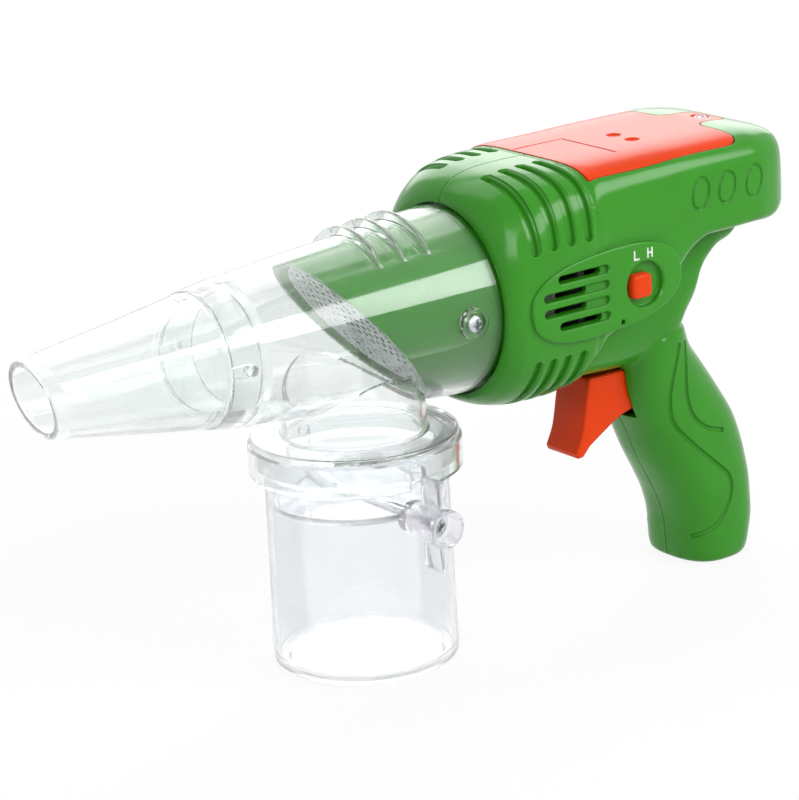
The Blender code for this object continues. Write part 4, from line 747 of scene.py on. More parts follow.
def make_nozzle(materials):
    """Clear cone with a thick rolled rim, leaning at the mouth."""
    rear = COLLAR_X - GAP
    spigot_end = COLLAR_X + SPIGOT_LENGTH
    inner = SPIGOT_RADIUS - NOZZLE_WALL
    slope = (NOZZLE_REAR_RADIUS - MOUTH_RADIUS) / (rear - MOUTH_X)
    lip = rear - NOZZLE_LIP
    corners = [
        (MOUTH_RADIUS, MOUTH_X, 0.9),
        (MOUTH_RADIUS + slope * (lip - MOUTH_X), lip, 0.6),
        (NOZZLE_REAR_RADIUS, rear - 0.8, 0.3),
        (NOZZLE_REAR_RADIUS, rear, 0.3),
        (SPIGOT_RADIUS, rear, 0.2),
        (SPIGOT_RADIUS, spigot_end, 0.5),
        (inner, spigot_end, 0.5),
        (MOUTH_RADIUS + slope * NOZZLE_SHELF - NOZZLE_WALL, MOUTH_X + NOZZLE_SHELF, 2.0),
        (MOUTH_RADIUS - NOZZLE_RIM, MOUTH_X, 0.9),
    ]
    nozzle = lathe("nozzle_cone", rounded(corners, 6), "X", (0.0, 0.0, AXIS_Z))
    subdivide_along(nozzle, MOUTH_X, MOUTH_BLEND)
    for vert in nozzle.data.vertices:
        share = max(0.0, 1.0 - (vert.co.x - MOUTH_X) / MOUTH_BLEND)
        vert.co.x -= (vert.co.z - AXIS_Z) * math.tan(MOUTH_TILT) * share
    for side in (-1, 1):
        ends = sorted((side * (SPIGOT_RADIUS - NOZZLE_WALL / 2), side * (SPIGOT_RADIUS + PEG_HEIGHT)))
        combine(nozzle, rod("peg", PEG_RADIUS, *ends, "Y", (PEG_X, 0.0, AXIS_Z)), "UNION")
    place(nozzle, "nozzle", ["nozzle"], "clear_plastic", materials)


def subdivide_along(obj, low, length, count=10):
    """Cut extra rings across a turned piece so that its end can lean smoothly."""
    bm = bmesh.new()
    bm.from_mesh(obj.data)
    for i in range(1, count + 1):
        place_x = low + length * i / count
        bmesh.ops.bisect_plane(
            bm, geom=bm.verts[:] + bm.edges[:] + bm.faces[:],
            plane_co=(place_x, 0.0, 0.0), plane_no=(1.0, 0.0, 0.0),
        )
    bm.to_mesh(obj.data)
    bm.free()


def make_tube(materials):
    """Clear conical tube with a saddle neck, flange and skirt for the jar, ribs and screw bosses."""
    centre = (0.0, 0.0, AXIS_Z)
    rear = TUBE_REAR_X + TUBE_INSERT
    collar_end = COLLAR_X + COLLAR_LENGTH
    corners = [
        (0.0, COLLAR_X, 0.0),
        (COLLAR_RADIUS, COLLAR_X, 0.5),
        (COLLAR_REAR_RADIUS, collar_end, 2.0),
        (TUBE_REAR_RADIUS, TUBE_REAR_X, 0.5),
        (TUBE_REAR_RADIUS, rear, 0.4),
        (0.0, rear, 0.0),
    ]
    tube = lathe("catch_tube_shell", rounded(corners), "X", centre)
    combine(tube, socket_solid(), "UNION")
    for rib_x in RIB_PLACES:
        combine(tube, rib(rib_x), "UNION")
    bore = SPIGOT_RADIUS + GAP
    bore_end = COLLAR_X + SPIGOT_LENGTH + GAP
    slope_end = bore_end + TUBE_WALL
    inner_rear = TUBE_REAR_RADIUS - TUBE_WALL
    hollow = [
        (0.0, 2 * COLLAR_X, 0.0),
        (bore + LEAD_IN, 2 * COLLAR_X, 0.0),
        (bore + LEAD_IN, COLLAR_X, 0.0),
        (bore, COLLAR_X + LEAD_IN, 0.0),
        (bore, bore_end, 0.4),
        (tube_radius(slope_end) - TUBE_WALL, slope_end, 0.6),
        (inner_rear, TUBE_REAR_X, 1.0),
        (inner_rear, 2 * rear, 0.0),
        (0.0, 2 * rear, 0.0),
    ]
    combine(tube, lathe("hollow", rounded(hollow), "X", centre))
    combine(tube, socket_hollow())
    for side in (-1, 1):
        add_tube_boss(tube, side)
        cut_peg_seats(tube, side)
    place(tube, "housing", ["catch_tube"], "clear_plastic", materials)


def socket_solid():
    """Neck, flange and skirt under the tube, without their hollows."""
    corners = [
        (0.0, AXIS_Z, 0.0),
        (NECK_RADIUS, AXIS_Z, 0.0),
        (NECK_RADIUS, FLANGE_TOP, 1.2),
        (FLANGE_RADIUS, FLANGE_TOP, 0.8),
        (FLANGE_RADIUS, FLANGE_LOW, 0.3),
        (SKIRT_RADIUS, FLANGE_LOW - 0.6, 0.3),
        (SKIRT_RADIUS, SKIRT_LOW, 0.7),
        (0.0, SKIRT_LOW, 0.0),
    ]
    return lathe("socket", rounded(corners))


def socket_hollow():
    """Bore of the neck and the wider room for the jar's rim."""
    bore = NECK_RADIUS - NECK_WALL
    room = SKIRT_RADIUS - SKIRT_WALL
    corners = [
        (0.0, AXIS_Z, 0.0),
        (bore, AXIS_Z, 0.0),
        (bore, FLANGE_LOW, 0.6),
        (room, FLANGE_LOW, 0.4),
        (room, SKIRT_LOW + LEAD_IN, 0.0),
        (room + 0.5, SKIRT_LOW, 0.0),
        (room + 0.5, 0.0, 0.0),
        (0.0, 0.0, 0.0),
    ]
    return lathe("socket_hollow", rounded(corners))


def rib(x, count=28):
    """Finger rib over the top of the tube, tallest in the middle, with rounded edges."""
    radius = tube_radius(x - RIB_WIDTH / 2)
    base = radius - TUBE_WALL / 2
    top = []
    foot = []
    for j in range(count + 1):
        share = 2 * j / count - 1
        angle = share * RIB_SPREAD
        reach = radius + RIB_HEIGHT * (1 - RIB_FALL * share ** 2)
        top.append((reach * math.sin(angle), AXIS_Z + reach * math.cos(angle)))
        foot.append((-base * math.sin(angle), AXIS_Z + base * math.cos(angle)))
    fin = prism("rib", top + foot, "X", x - RIB_WIDTH / 2, x + RIB_WIDTH / 2)
    return bevel_edges(fin, 0.45, 3, 60.0)


def add_tube_boss(tube, side):
    """Round screw boss on the tube's flank, counterbored for the screw's head."""
    centre = (TUBE_SCREW_X, 0.0, AXIS_Z)
    wall_radius = tube_radius(TUBE_SCREW_X)
    face = wall_radius + TUBE_BOSS_PROUD
    seat = face - HEAD_HEIGHT
    boss = [
        (0.0, side * (wall_radius - TUBE_WALL / 2), 0.0),
        (TUBE_BOSS_RADIUS, side * (wall_radius - TUBE_WALL / 2), 0.0),
        (TUBE_BOSS_RADIUS, side * face, 0.5),
        (0.0, side * face, 0.0),
    ]
    combine(tube, lathe("boss", rounded(boss), "Y", centre, SMALL_STEPS), "UNION")
    shank = SCREW_RADIUS + GAP
    combine(tube, lathe("well", [
        (0.0, side * face / 2),
        (shank, side * face / 2),
        (shank, side * seat),
        (TUBE_WELL_RADIUS, side * seat),
        (TUBE_WELL_RADIUS, side * 2 * face),
        (0.0, side * 2 * face),
    ], "Y", centre, SMALL_STEPS))


def cut_peg_seats(tube, side):
    """Guide grooves and snap holes for the nozzle's and the jar's pegs."""
    outer = 2 * SKIRT_RADIUS
    bore = SPIGOT_RADIUS + GAP
    half = PEG_RADIUS + PEG_PLAY
    floor = sorted((side * bore / 2, side * (SPIGOT_RADIUS + PEG_HEIGHT + PEG_PLAY)))
    low = (2 * COLLAR_X, floor[0], AXIS_Z - half)
    combine(tube, box("guide", low, (PEG_X, floor[1], AXIS_Z + half)))
    ends = sorted((side * bore / 2, side * outer))
    combine(tube, rod("snap_hole", half, *ends, "Y", (PEG_X, 0.0, AXIS_Z)))
    half = JAR_PEG_RADIUS + PEG_PLAY
    floor = sorted((side * (BAND_RADIUS - JAR_WALL), side * (BAND_RADIUS + PEG_HEIGHT + PEG_PLAY)))
    combine(tube, box("guide", (-half, floor[0], 0.0), (half, floor[1], JAR_PEG_Z)))
    ends = sorted((side * (BAND_RADIUS - JAR_WALL), side * outer))
    combine(tube, rod("snap_hole", half, *ends, "Y", (0.0, 0.0, JAR_PEG_Z)))


# Screws

def screw(name, axis, seat, outward, centre, length):
    """Pan-head screw with a tapered cross recess. The seat is where the head's underside lies."""
    tip = seat - outward * length
    top = seat + outward * HEAD_HEIGHT
    corners = [
        (0.0, tip, 0.0),
        (SCREW_RADIUS * 0.5, tip, 0.2),
        (SCREW_RADIUS, tip + outward * 1.2 * SCREW_RADIUS, 0.3),
        (SCREW_RADIUS, seat, 0.0),
        (HEAD_RADIUS, seat, 0.15),
        (HEAD_RADIUS, seat + outward * HEAD_HEIGHT * 0.55, 0.7),
        (HEAD_RADIUS * 0.6, top, 1.0),
        (0.0, top, 0.0),
    ]
    piece = lathe(name, rounded(corners), axis, centre, SMALL_STEPS)
    a, b = {"Y": (centre[0], centre[2]), "Z": (centre[0], centre[1])}[axis]
    for turned in (False, True):
        rings = []
        for depth, share in CROSS_TAPER:
            half = (CROSS_HALF * share, CROSS_WIDTH / 2 * (0.6 + 0.4 * share))
            if turned:
                half = half[::-1]
            height = top - outward * depth
            corners = ((-1, -1), (1, -1), (1, 1), (-1, 1))
            rings.append([along(axis, a + i * half[0], b + j * half[1], height) for i, j in corners])
        combine(piece, loft("cross", rings))
    return piece


def make_screws(materials):
    """All screws, each in place of its solid."""
    face = tube_radius(TUBE_SCREW_X) + TUBE_BOSS_PROUD
    seat = face - HEAD_HEIGHT + GAP
    for name, side in (("tube_screw_left", -1), ("tube_screw_right", 1)):
        piece = screw(name + "_steel", "Y", side * seat, side, (TUBE_SCREW_X, 0.0, AXIS_Z), SCREW_LENGTH)
        place(piece, "housing", [name], "zinc_steel", materials)
    piece = screw("knob_screw_steel", "Y", -(HUB_END + GAP), -1, (0.0, 0.0, SHUTTER_Z), SCREW_LENGTH)
    place(piece, "shutter", ["knob_screw"], "zinc_steel", materials)
    for i, (x, z) in enumerate(HOUSING_SCREWS, start=1):
        piece = screw(
            f"housing_screw_{i}_steel", "Y", HOUSING_SCREW_SEAT, 1, (x, 0.0, z), HOUSING_SCREW_LENGTH,
        )
        place(piece, "housing", [f"housing_screw_{i}"], "zinc_steel", materials)
    seat = BODY_TOP - HEAD_HEIGHT - GAP
    piece = screw("cover_screw_steel", "Z", seat, 1, (COVER_SCREW_X, 0.0, 0.0), COVER_SCREW_LENGTH)
    place(piece, "cover", ["cover_screw"], "zinc_steel", materials)


# Filter

def slant():
    """Frame of the holder's slanted face: first axis down the slope, third axis back and up."""
    c = math.cos(HOLDER_CUT)
    s = math.sin(HOLDER_CUT)
    turn = Matrix(((c, 0.0, s, 0.0), (0.0, 1.0, 0.0, 0.0), (-s, 0.0, c, 0.0), (0.0, 0.0, 0.0, 1.0)))
    return Matrix.Translation((0.0, 0.0, HOLDER_CUT_Z)) @ turn


def holder_radius(x):
    """Outer radius of the filter holder at x."""
    return tube_radius(x) - TUBE_WALL - GAP


def make_holder(materials):
    """Green sleeve cut off at a slant, with a flange behind the tube's end."""
    front = COLLAR_X + SPIGOT_LENGTH + 2 * TUBE_WALL
    flange_front = TUBE_REAR_X + TUBE_INSERT + GAP
    flange_rear = flange_front + HOLDER_FLANGE
    outer_rear = holder_radius(TUBE_REAR_X)
    corners = [
        (holder_radius(front), front, 0.0),
        (outer_rear, TUBE_REAR_X, 0.5),
        (outer_rear, flange_front, 0.0),
        (TUBE_REAR_RADIUS, flange_front, 0.3),
        (TUBE_REAR_RADIUS, flange_rear, 0.3),
        (outer_rear - HOLDER_WALL, flange_rear, 0.3),
        (outer_rear - HOLDER_WALL, TUBE_REAR_X, 0.5),
        (holder_radius(front) - HOLDER_WALL, front, 0.0),
    ]
    holder = lathe("filter_sleeve", rounded(corners), "X", (0.0, 0.0, AXIS_Z))
    size = 6 * TUBE_REAR_RADIUS
    cutter = box("slant_cut", (-size, -size, -size), (size, size, 0.0))
    cutter.data.transform(slant())
    combine(holder, cutter, solver="EXACT")
    reach = 2 * TUBE_REAR_RADIUS
    hole = rod("screw_holes", SCREW_RADIUS + GAP, -reach, reach, "Y", (TUBE_SCREW_X, 0.0, AXIS_Z))
    combine(holder, hole, solver="EXACT")
    bevel_edges(holder, HOLDER_EDGE, 3, 50.0)
    place(holder, "housing", ["filter_holder"], "green_plastic", materials)


def net_edge(angle):
    """Point of the net's border in the slanted plane, out along an angle."""
    direction = Vector((math.cos(angle), math.sin(angle)))
    low = 0.0
    high = 3 * TUBE_REAR_RADIUS
    for _ in range(40):
        middle = (low + high) / 2
        if inside_net(direction * middle):
            low = middle
        else:
            high = middle
    return direction * low


def inside_net(place_uv):
    """Whether a place in the slanted plane lies within the holder's bore."""
    point = slant() @ Vector((place_uv[0], place_uv[1], NET_LEVEL))
    limit = holder_radius(point.x) - HOLDER_WALL - GAP - NET_BORDER
    return math.hypot(point.y, point.z - AXIS_Z) < limit


def make_net(materials):
    """Woven wire net: two families of leaning wires that dip over and under, in an oval border."""
    frame_place = slant()
    wires = []
    border = [net_edge(2 * math.pi * i / NET_BORDER_STEPS) for i in range(NET_BORDER_STEPS)]
    edge = [frame_place @ Vector((p.x, p.y, NET_LEVEL)) for p in border]
    wires.append(pipe("border", edge, NET_BORDER_WIRE, 8, True))
    for family, lean in enumerate((NET_LEAN, -NET_LEAN)):
        run = Vector((math.cos(lean), math.sin(lean)))
        across = Vector((-run.y, run.x))
        reach = max(abs(p.dot(across)) for p in border)
        count = int(reach / NET_PITCH)
        for i in range(-count, count + 1):
            ends = crossing(border, run, across, i * NET_PITCH)
            if ends:
                line = woven_line(run, across, i, ends, family)
                wires.append(pipe("wire", [frame_place @ p for p in line], NET_WIRE, 5))
    net = joined("filter_net", wires)
    place(net, "housing", ["filter_mesh"], "mesh_steel", materials, 60.0)


def crossing(border, run, across, offset):
    """Where a straight wire at an offset meets the border, as places along its run."""
    hits = []
    for a, b in zip(border, border[1:] + border[:1]):
        da = a.dot(across) - offset
        db = b.dot(across) - offset
        if da * db < 0.0:
            hits.append((a + (b - a) * (da / (da - db))).dot(run))
    return sorted(hits) if len(hits) == 2 else None


def woven_line(run, across, index, ends, family):
    """Points of one wire, lifted and lowered in turn where it passes the other family."""
    step = NET_PITCH / math.sin(2 * NET_LEAN)
    count = max(2, int((ends[1] - ends[0]) / step))
    line = []
    for j in range(count + 1):
        along_run = ends[0] + (ends[1] - ends[0]) * j / count
        lift = NET_WIRE * (1 if (j + index + family) % 2 else -1)
        point = run * along_run + across * index * NET_PITCH
        line.append(Vector((point.x, point.y, NET_LEVEL + lift)))
    return line


# Jar and shutter

def jar_inner_radius(z):
    """Inner radius of the jar at a height."""
    return JAR_RADIUS + (JAR_SHOULDER_RADIUS - JAR_RADIUS) * z / JAR_TOP - JAR_WALL


def make_jar(materials):
    """Clear jar with a rounded foot, a thick neck band, pegs and the shaft's boss."""
    band_low = SKIRT_LOW + 1.2
    ramp = BAND_RADIUS - JAR_SHOULDER_RADIUS
    corners = [
        (0.0, JAR_FOOT_RISE, 0.0),
        (JAR_RADIUS - JAR_FOOT - 1.0, JAR_FOOT_RISE, 0.5),
        (JAR_RADIUS - JAR_FOOT, 0.0, 0.5),
        (JAR_RADIUS, 0.0, 2.0),
        (JAR_SHOULDER_RADIUS, band_low, 0.5),
        (BAND_RADIUS, band_low + ramp, 0.5),
        (BAND_RADIUS, JAR_TOP, 0.5),
        (jar_inner_radius(JAR_TOP), JAR_TOP, 0.5),
        (jar_inner_radius(JAR_FLOOR), JAR_FLOOR, 2.2),
        (0.0, JAR_FLOOR, 0.0),
    ]
    jar = lathe("jar_cup", rounded(corners, 7))
    for side in (-1, 1):
        ends = sorted((side * (BAND_RADIUS - JAR_WALL / 2), side * (BAND_RADIUS + PEG_HEIGHT)))
        peg = bevel_edges(rod("peg", JAR_PEG_RADIUS, *ends, "Y", (0.0, 0.0, JAR_PEG_Z)), 0.3, 2, 60.0)
        combine(jar, peg, "UNION")
    pivot = (0.0, 0.0, SHUTTER_Z)
    wall_middle = jar_inner_radius(SHUTTER_Z) + JAR_WALL / 2
    boss = [
        (0.0, -BOSS_END, 0.0),
        (BOSS_RADIUS, -BOSS_END, 0.6),
        (BOSS_RADIUS, -wall_middle, 0.0),
        (0.0, -wall_middle, 0.0),
    ]
    combine(jar, lathe("boss", rounded(boss), "Y", pivot, SMALL_STEPS), "UNION")
    combine(jar, rod("bore", SHAFT_RADIUS + GAP, -2 * JAR_RADIUS, 2 * JAR_RADIUS, "Y", pivot))
    combine(jar, gate_mark(), "UNION")
    place(jar, "jar", ["jar"], "jar_plastic", materials)


def gate_mark():
    """Small raised chevron on the jar's floor, left by the mould."""
    return prism("mark", GATE_MARK, "Z", JAR_FLOOR - GATE_MARK_ROOT, JAR_FLOOR + GATE_MARK_HEIGHT)


def make_shutter(materials):
    """Lilac disc with a thin raised edge, on its cross shaft."""
    low = SHUTTER_Z - SHUTTER_THICKNESS / 2
    high = SHUTTER_Z + SHUTTER_THICKNESS / 2
    outer, inner = (SHUTTER_RADIUS - edge for edge in SHUTTER_EDGE)
    corners = [
        (0.0, low + SHUTTER_STEP, 0.0),
        (inner, low + SHUTTER_STEP, 0.3),
        (outer, low, 0.3),
        (SHUTTER_RADIUS, low, 0.4),
        (SHUTTER_RADIUS, high, 0.4),
        (outer, high, 0.3),
        (inner, high - SHUTTER_STEP, 0.3),
        (0.0, high - SHUTTER_STEP, 0.0),
    ]
    disc = lathe("shutter_plate", rounded(corners))
    pivot = (0.0, 0.0, SHUTTER_Z)
    near = -(HUB_END - KNOB_FLOOR - GAP)
    shaft = bevel_edges(rod("shaft", SHAFT_RADIUS, near, JAR_RADIUS - GAP, "Y", pivot), 0.3, 2, 60.0)
    combine(disc, shaft, "UNION")
    combine(disc, rod("screw_hole", SCREW_RADIUS + GAP, 2 * near, near + SCREW_LENGTH, "Y", pivot))
    place(disc, "shutter", ["shutter_disc"], "lilac_plastic", materials)


def make_knob(materials):
    """Winged knob: a hub, a cup round the screw and two flat wings with rounded ends."""
    pivot = (0.0, 0.0, SHUTTER_Z)
    corners = [
        (0.0, -KNOB_START, 0.0),
        (KNOB_RADIUS, -KNOB_START, 0.5),
        (KNOB_RADIUS, KNOB_FLOOR - HUB_END, 0.6),
        (CUP_RADIUS, -HUB_END, 0.6),
        (CUP_RADIUS, -CUP_END, 0.4),
        (0.0, -CUP_END, 0.0),
    ]
    knob = lathe("shutter_knob_clear", rounded(corners), "Y", pivot, SMALL_STEPS)
    low = SHUTTER_Z - WING_REACH
    high = SHUTTER_Z + WING_REACH
    plan = ((-WING_BACK, low), (-WING_FRONT, low), (-WING_FRONT, high), (-WING_BACK, high))
    outline = rounded([(y, z, WING_CORNER) for y, z in plan])
    half = WING_THICKNESS / 2
    wings = bevel_edges(prism("wings", outline, "X", -half, half), 0.4, 2, 60.0)
    combine(knob, wings, "UNION", "EXACT")
    cup = CUP_RADIUS - CUP_WALL
    hole = SCREW_RADIUS + GAP
    shaft = SHAFT_RADIUS + GAP
    floor = HUB_END - KNOB_FLOOR
    combine(knob, lathe("bore", [
        (0.0, -2 * CUP_END),
        (cup, -2 * CUP_END),
        (cup, -HUB_END),
        (hole, -HUB_END),
        (hole, -floor),
        (shaft, -floor),
        (shaft, 0.0),
        (0.0, 0.0),
    ], "Y", pivot, SMALL_STEPS), solver="EXACT")
    place(knob, "shutter", ["shutter_knob"], "lilac_plastic", materials)


# Housing

# Drum, front to back: share of its length, then of its growth from the tube at the sides, the belly and
# the crown, and the powers of the lower and the upper corners
DRUM_SHARES = (
    (0.0, 0.30, 0.24, 0.20, 2.1, 2.1),
    (0.045, 0.60, 0.45, 0.45, 2.15, 2.25),
    (0.160, 0.92, 0.75, 0.75, 2.3, 2.6),
    (0.371, 1.0, 0.95, 0.94, 2.4, 3.4),
    (0.671, 1.0, 1.0, 1.0, 2.4, 4.3),
)

# Head, front to back: share of its length, of its width, of its underside's rise, of its middle's
# rise and of its depth lost at the top, then the power of the lower corners
HEAD_SHARES = (
    (0.049, 1.022, 0.33, 0.148, 0.0, 4.0),
    (0.147, 1.010, 0.43, 0.370, 0.0, 4.5),
    (0.264, 1.0, 0.50, 0.593, 0.0, 4.5),
    (0.337, 1.0, 0.60, 0.741, 0.0, 4.5),
    (0.398, 1.0, 0.78, 0.926, 0.0, 4.5),
    (0.460, 1.0, 0.92, 1.0, 0.0, 4.5),
    (0.533, 1.0, 1.0, 1.0, 0.0, 4.5),
    (0.755, 0.990, 1.0, 1.0, 0.0, 4.0),
    (0.853, 0.931, 0.976, 1.0, 0.021, 3.5),
    (0.926, 0.823, 1.0, 1.074, 0.070, 3.2),
    (0.975, 0.653, 1.048, 1.222, 0.193, 2.8),
    (1.0, 0.400, 1.143, 1.370, 0.386, 2.4),
)

# Neck, front to back: share of its length, of its half width and of its underside's rise
NECK_SHARES = (
    (-0.042, 0.857, 0.110),
    (0.036, 0.971, 0.037),
    (0.158, 1.0, 0.012),
    (0.327, 1.0, 0.0),
    (0.467, 1.0, 0.0),
    (0.520, 1.0, 0.060),
    (0.575, 1.0, 0.256),
    (0.612, 1.0, 0.380),
    (0.632, 1.0, 0.522),
    (0.668, 1.0, 0.654),
    (0.735, 0.98, 0.771),
    (0.790, 0.95, 0.805),
    (0.845, 0.90, 0.900),
    (0.900, 0.80, 0.950),
)

# Grip from the foot up: front and back points in shares of its depth and height, share of half width
GRIP_SHARES = (
    (0.047, 0.0, 0.672, 0.0, 0.85),
    (0.0, 0.0114, 0.75, 0.0152, 0.95),
    (-0.016, 0.057, 0.797, 0.0759, 1.0),
    (-0.0375, 0.1582, 0.847, 0.1772, 1.0),
    (-0.103, 0.2532, 0.841, 0.2911, 1.0),
    (-0.209, 0.3418, 0.791, 0.4177, 1.0),
    (-0.359, 0.4557, 0.681, 0.5633, 1.0),
    (-0.484, 0.5759, 0.484, 0.6962, 1.0),
    (-0.62, 0.6962, 0.266, 0.8228, 1.019),
    (-0.68, 0.8101, 0.094, 0.9177, 1.05),
    (-0.69, 0.9367, 0.016, 1.0, 1.0625),
)


def body_rows():
    """Cross-sections along the housing: x, half width, low, middle, high, lower and upper corner power."""
    wide = DRUM_HALF_WIDTH
    lip = DRUM_HALF_WIDTH - TUBE_REAR_RADIUS
    drum_end = GROOVE_X - GROOVE_DEPTH
    start = GROOVE_X + GROOVE_DEPTH
    deep = GROOVE_DEPTH
    rise = HEAD_LOW - DRUM_LOW
    axis = AXIS_Z
    top = BODY_TOP
    rows = []
    for share, side, belly, crown, low_power, high_power in DRUM_SHARES:
        rows.append((
            BODY_FRONT + share * DRUM_LENGTH,
            TUBE_REAR_RADIUS + side * lip,
            axis - TUBE_REAR_RADIUS - belly * DRUM_BELLY,
            axis,
            axis + TUBE_REAR_RADIUS + crown * DRUM_CROWN,
            low_power,
            high_power,
        ))
    rows += [
        (drum_end, wide, DRUM_LOW + 0.07 * rise, axis, top, 2.8, 4.8),
        (GROOVE_X, wide - deep, DRUM_LOW + 0.12 * rise, axis, top - deep, 3.0, 5.0),
        (start, wide - 0.4 * deep, DRUM_LOW + 0.17 * rise, axis, top, 3.3, 5.3),
    ]
    length = BODY_REAR - start
    for share, width, low, middle, drop, power in HEAD_SHARES:
        rows.append((
            start + share * length,
            width * HEAD_HALF_WIDTH,
            DRUM_LOW + low * rise,
            axis + middle * (HEAD_MIDDLE - axis),
            top - drop * HEAD_DEPTH,
            power,
            CROWN_POWER,
        ))
    return rows


def body_point(x, angle, grow=0.0):
    """Point (y, z) on the housing's cross-section at x; the upper half has its own corner power."""
    _, half_width, low, middle, high, low_power, high_power = smooth_between(x, body_rows())
    if math.sin(angle) >= 0.0:
        y, z = power_point(angle, half_width + grow, high - middle + grow, high_power)
    else:
        y, z = power_point(angle, half_width + grow, middle - low + grow, low_power)
    return y, middle + z


def body_ring(x, inset=0.0, count=RING_STEPS):
    """Cross-section of the housing at x, with its points spread evenly over the corners."""
    _, half_width, low, middle, high, low_power, high_power = smooth_between(x, body_rows())
    ring = []
    for i in range(count):
        angle = 2 * math.pi * (i + 0.5) / count
        upper = math.sin(angle) >= 0.0
        power = high_power if upper else low_power
        height = high - middle if upper else middle - low
        c = math.cos(angle)
        s = math.sin(angle)
        size = (abs(c) ** power + abs(s) ** power) ** (-1 / power)
        ring.append((x, c * size * (half_width - inset), middle + s * size * (height - inset)))
    return ring


def body_solid(name, inset=0.0, front=BODY_FRONT, step=1.0, count=RING_STEPS):
    """The drum and the head. Rows are closer together round the groove and at both ends."""
    rear = BODY_REAR - inset
    places = [front]
    while places[-1] < rear:
        x = places[-1]
        fine = abs(x - GROOVE_X) < 3.0 or x - BODY_FRONT < 6.0 or rear - x < 4.0
        places.append(min(rear, x + (0.3 if fine and not inset else step)))
    return loft(name, [body_ring(x, inset, count) for x in places])


def neck_solid(name, inset=0.0, count=72):
    """The neck under the head."""
    rise = HEAD_LOW - NECK_LOW
    rows = []
    for share, width, low in NECK_SHARES:
        back = inset if share > NECK_BEND else 0.0
        x = GROOVE_X + share * HEAD_LENGTH - back
        rows.append((x, width * NECK_HALF_WIDTH, NECK_LOW + low * rise))
    if inset:
        rows = rows[1:-2]
    rings = []
    x = rows[0][0]
    while x <= rows[-1][0]:
        _, half_width, low = smooth_between(x, rows)
        low += inset
        outline = power_outline(
            half_width - inset, (HEAD_MIDDLE - low) / 2, NECK_POWER, count, (0.0, (low + HEAD_MIDDLE) / 2),
        )
        rings.append([(x, y, z) for y, z in outline])
        x += 1.0
    return loft(name, rings)


def grip_solid(name, inset=0.0, count=72):
    """The grip, a stack of tilted cross-sections from the foot up."""
    rows = [(i, *shares) for i, shares in enumerate(GRIP_SHARES)]
    if inset:
        rows = rows[2:]
    rings = []
    steps = 10
    for i in range((len(rows) - 1) * steps + 1):
        level = rows[0][0] + i / steps
        _, front_a, front_b, back_a, back_b, width = smooth_between(level, rows)
        front = Vector((GRIP_X + front_a * GRIP_DEPTH, 0.0, front_b * GRIP_TOP))
        back = Vector((GRIP_X + back_a * GRIP_DEPTH, 0.0, back_b * GRIP_TOP))
        forward = (back - front).normalized()
        middle = (front + back) / 2
        half_depth = (back - front).length / 2 - inset
        ring = []
        for a, y in power_outline(half_depth, width * GRIP_HALF_WIDTH - inset, GRIP_POWER, count):
            point = middle + forward * a
            ring.append((point.x, y, point.z))
        rings.append(ring)
    return loft(name, rings)


def moulded_skin():
    """Drum, head, neck and grip melted into one smooth outer form."""
    skin = body_solid("skin")
    combine(skin, neck_solid("neck"), "UNION")
    combine(skin, grip_solid("grip"), "UNION")
    remesh = skin.modifiers.new("remesh", "REMESH")
    remesh.mode = "VOXEL"
    remesh.voxel_size = VOXEL
    smoothing = skin.modifiers.new("smooth", "SMOOTH")
    smoothing.iterations = SMOOTHING
    smoothing.factor = 0.5
    return apply_modifiers(skin)


def make_housing(materials):
    """Moulded housing: the outer form with panels, slots and grooves, hollowed and split in halves."""
    shell = moulded_skin()
    surface = BVHTree.FromObject(shell, bpy.context.evaluated_depsgraph_get())
    lines = grip_lines(surface)
    rings = head_rings(surface)
    combine(shell, joined("panels", [side_panel(-1), side_panel(1)]), "UNION")
    combine(shell, hollow_room())
    centre = (0.0, 0.0, AXIS_Z)
    combine(shell, rod("tube_bore", TUBE_REAR_RADIUS + GAP, 0.0, SEAT_WALL_X, "X", centre, ROUND_STEPS))
    combine(shell, rod("air_bore", SEAT_BORE, 0.0, SEAT_WALL_X + 2 * SEAT_WALL, "X", centre, ROUND_STEPS))
    combine(shell, corner_slots())
    for cutter in panel_slots():
        combine(shell, cutter)
    combine(shell, lines)
    combine(shell, rings)
    combine(shell, prism("cover_seat", cover_outline(GAP), "Z", tab_floor(), 2 * BODY_TOP))
    combine(shell, prism("bay", plate_outline(GAP), "Z", HEAD_LOW + 2 * WALL, 2 * BODY_TOP))
    combine(shell, trigger_slot())
    combine(shell, screw_pilots())
    for name, node, side in (
        ("housing_near", "housing_left", -1),
        ("housing_far", "housing_right", 1),
    ):
        half = copy_of(shell, name)
        reach = 2 * BODY_REAR
        ends = sorted((side * SPLIT_GAP / 2, side * reach))
        combine(half, box("half", (-reach, ends[0], -reach), (reach, ends[1], reach)), "INTERSECT")
        if side < 0:
            combine(half, switch_recess())
            combine(half, stem_slot())
        else:
            combine(half, screw_recesses())
        place(half, "housing", [node], "green_plastic", materials)
    bpy.data.objects.remove(shell, do_unlink=True)


def side_panel(side):
    """Raised oval panel on the drum's flank, with a soft edge."""
    outline = power_outline(
        PANEL_HALF_LENGTH, PANEL_HALF_HEIGHT, PANEL_POWER, 120, (PANEL_X, PANEL_Z), PANEL_TILT,
    )
    ends = sorted((side * (HEAD_HALF_WIDTH - WALL / 2), side * PANEL_FACE))
    return bevel_edges(prism("panel", outline, "Y", *ends), PANEL_EDGE, 4, 60.0)


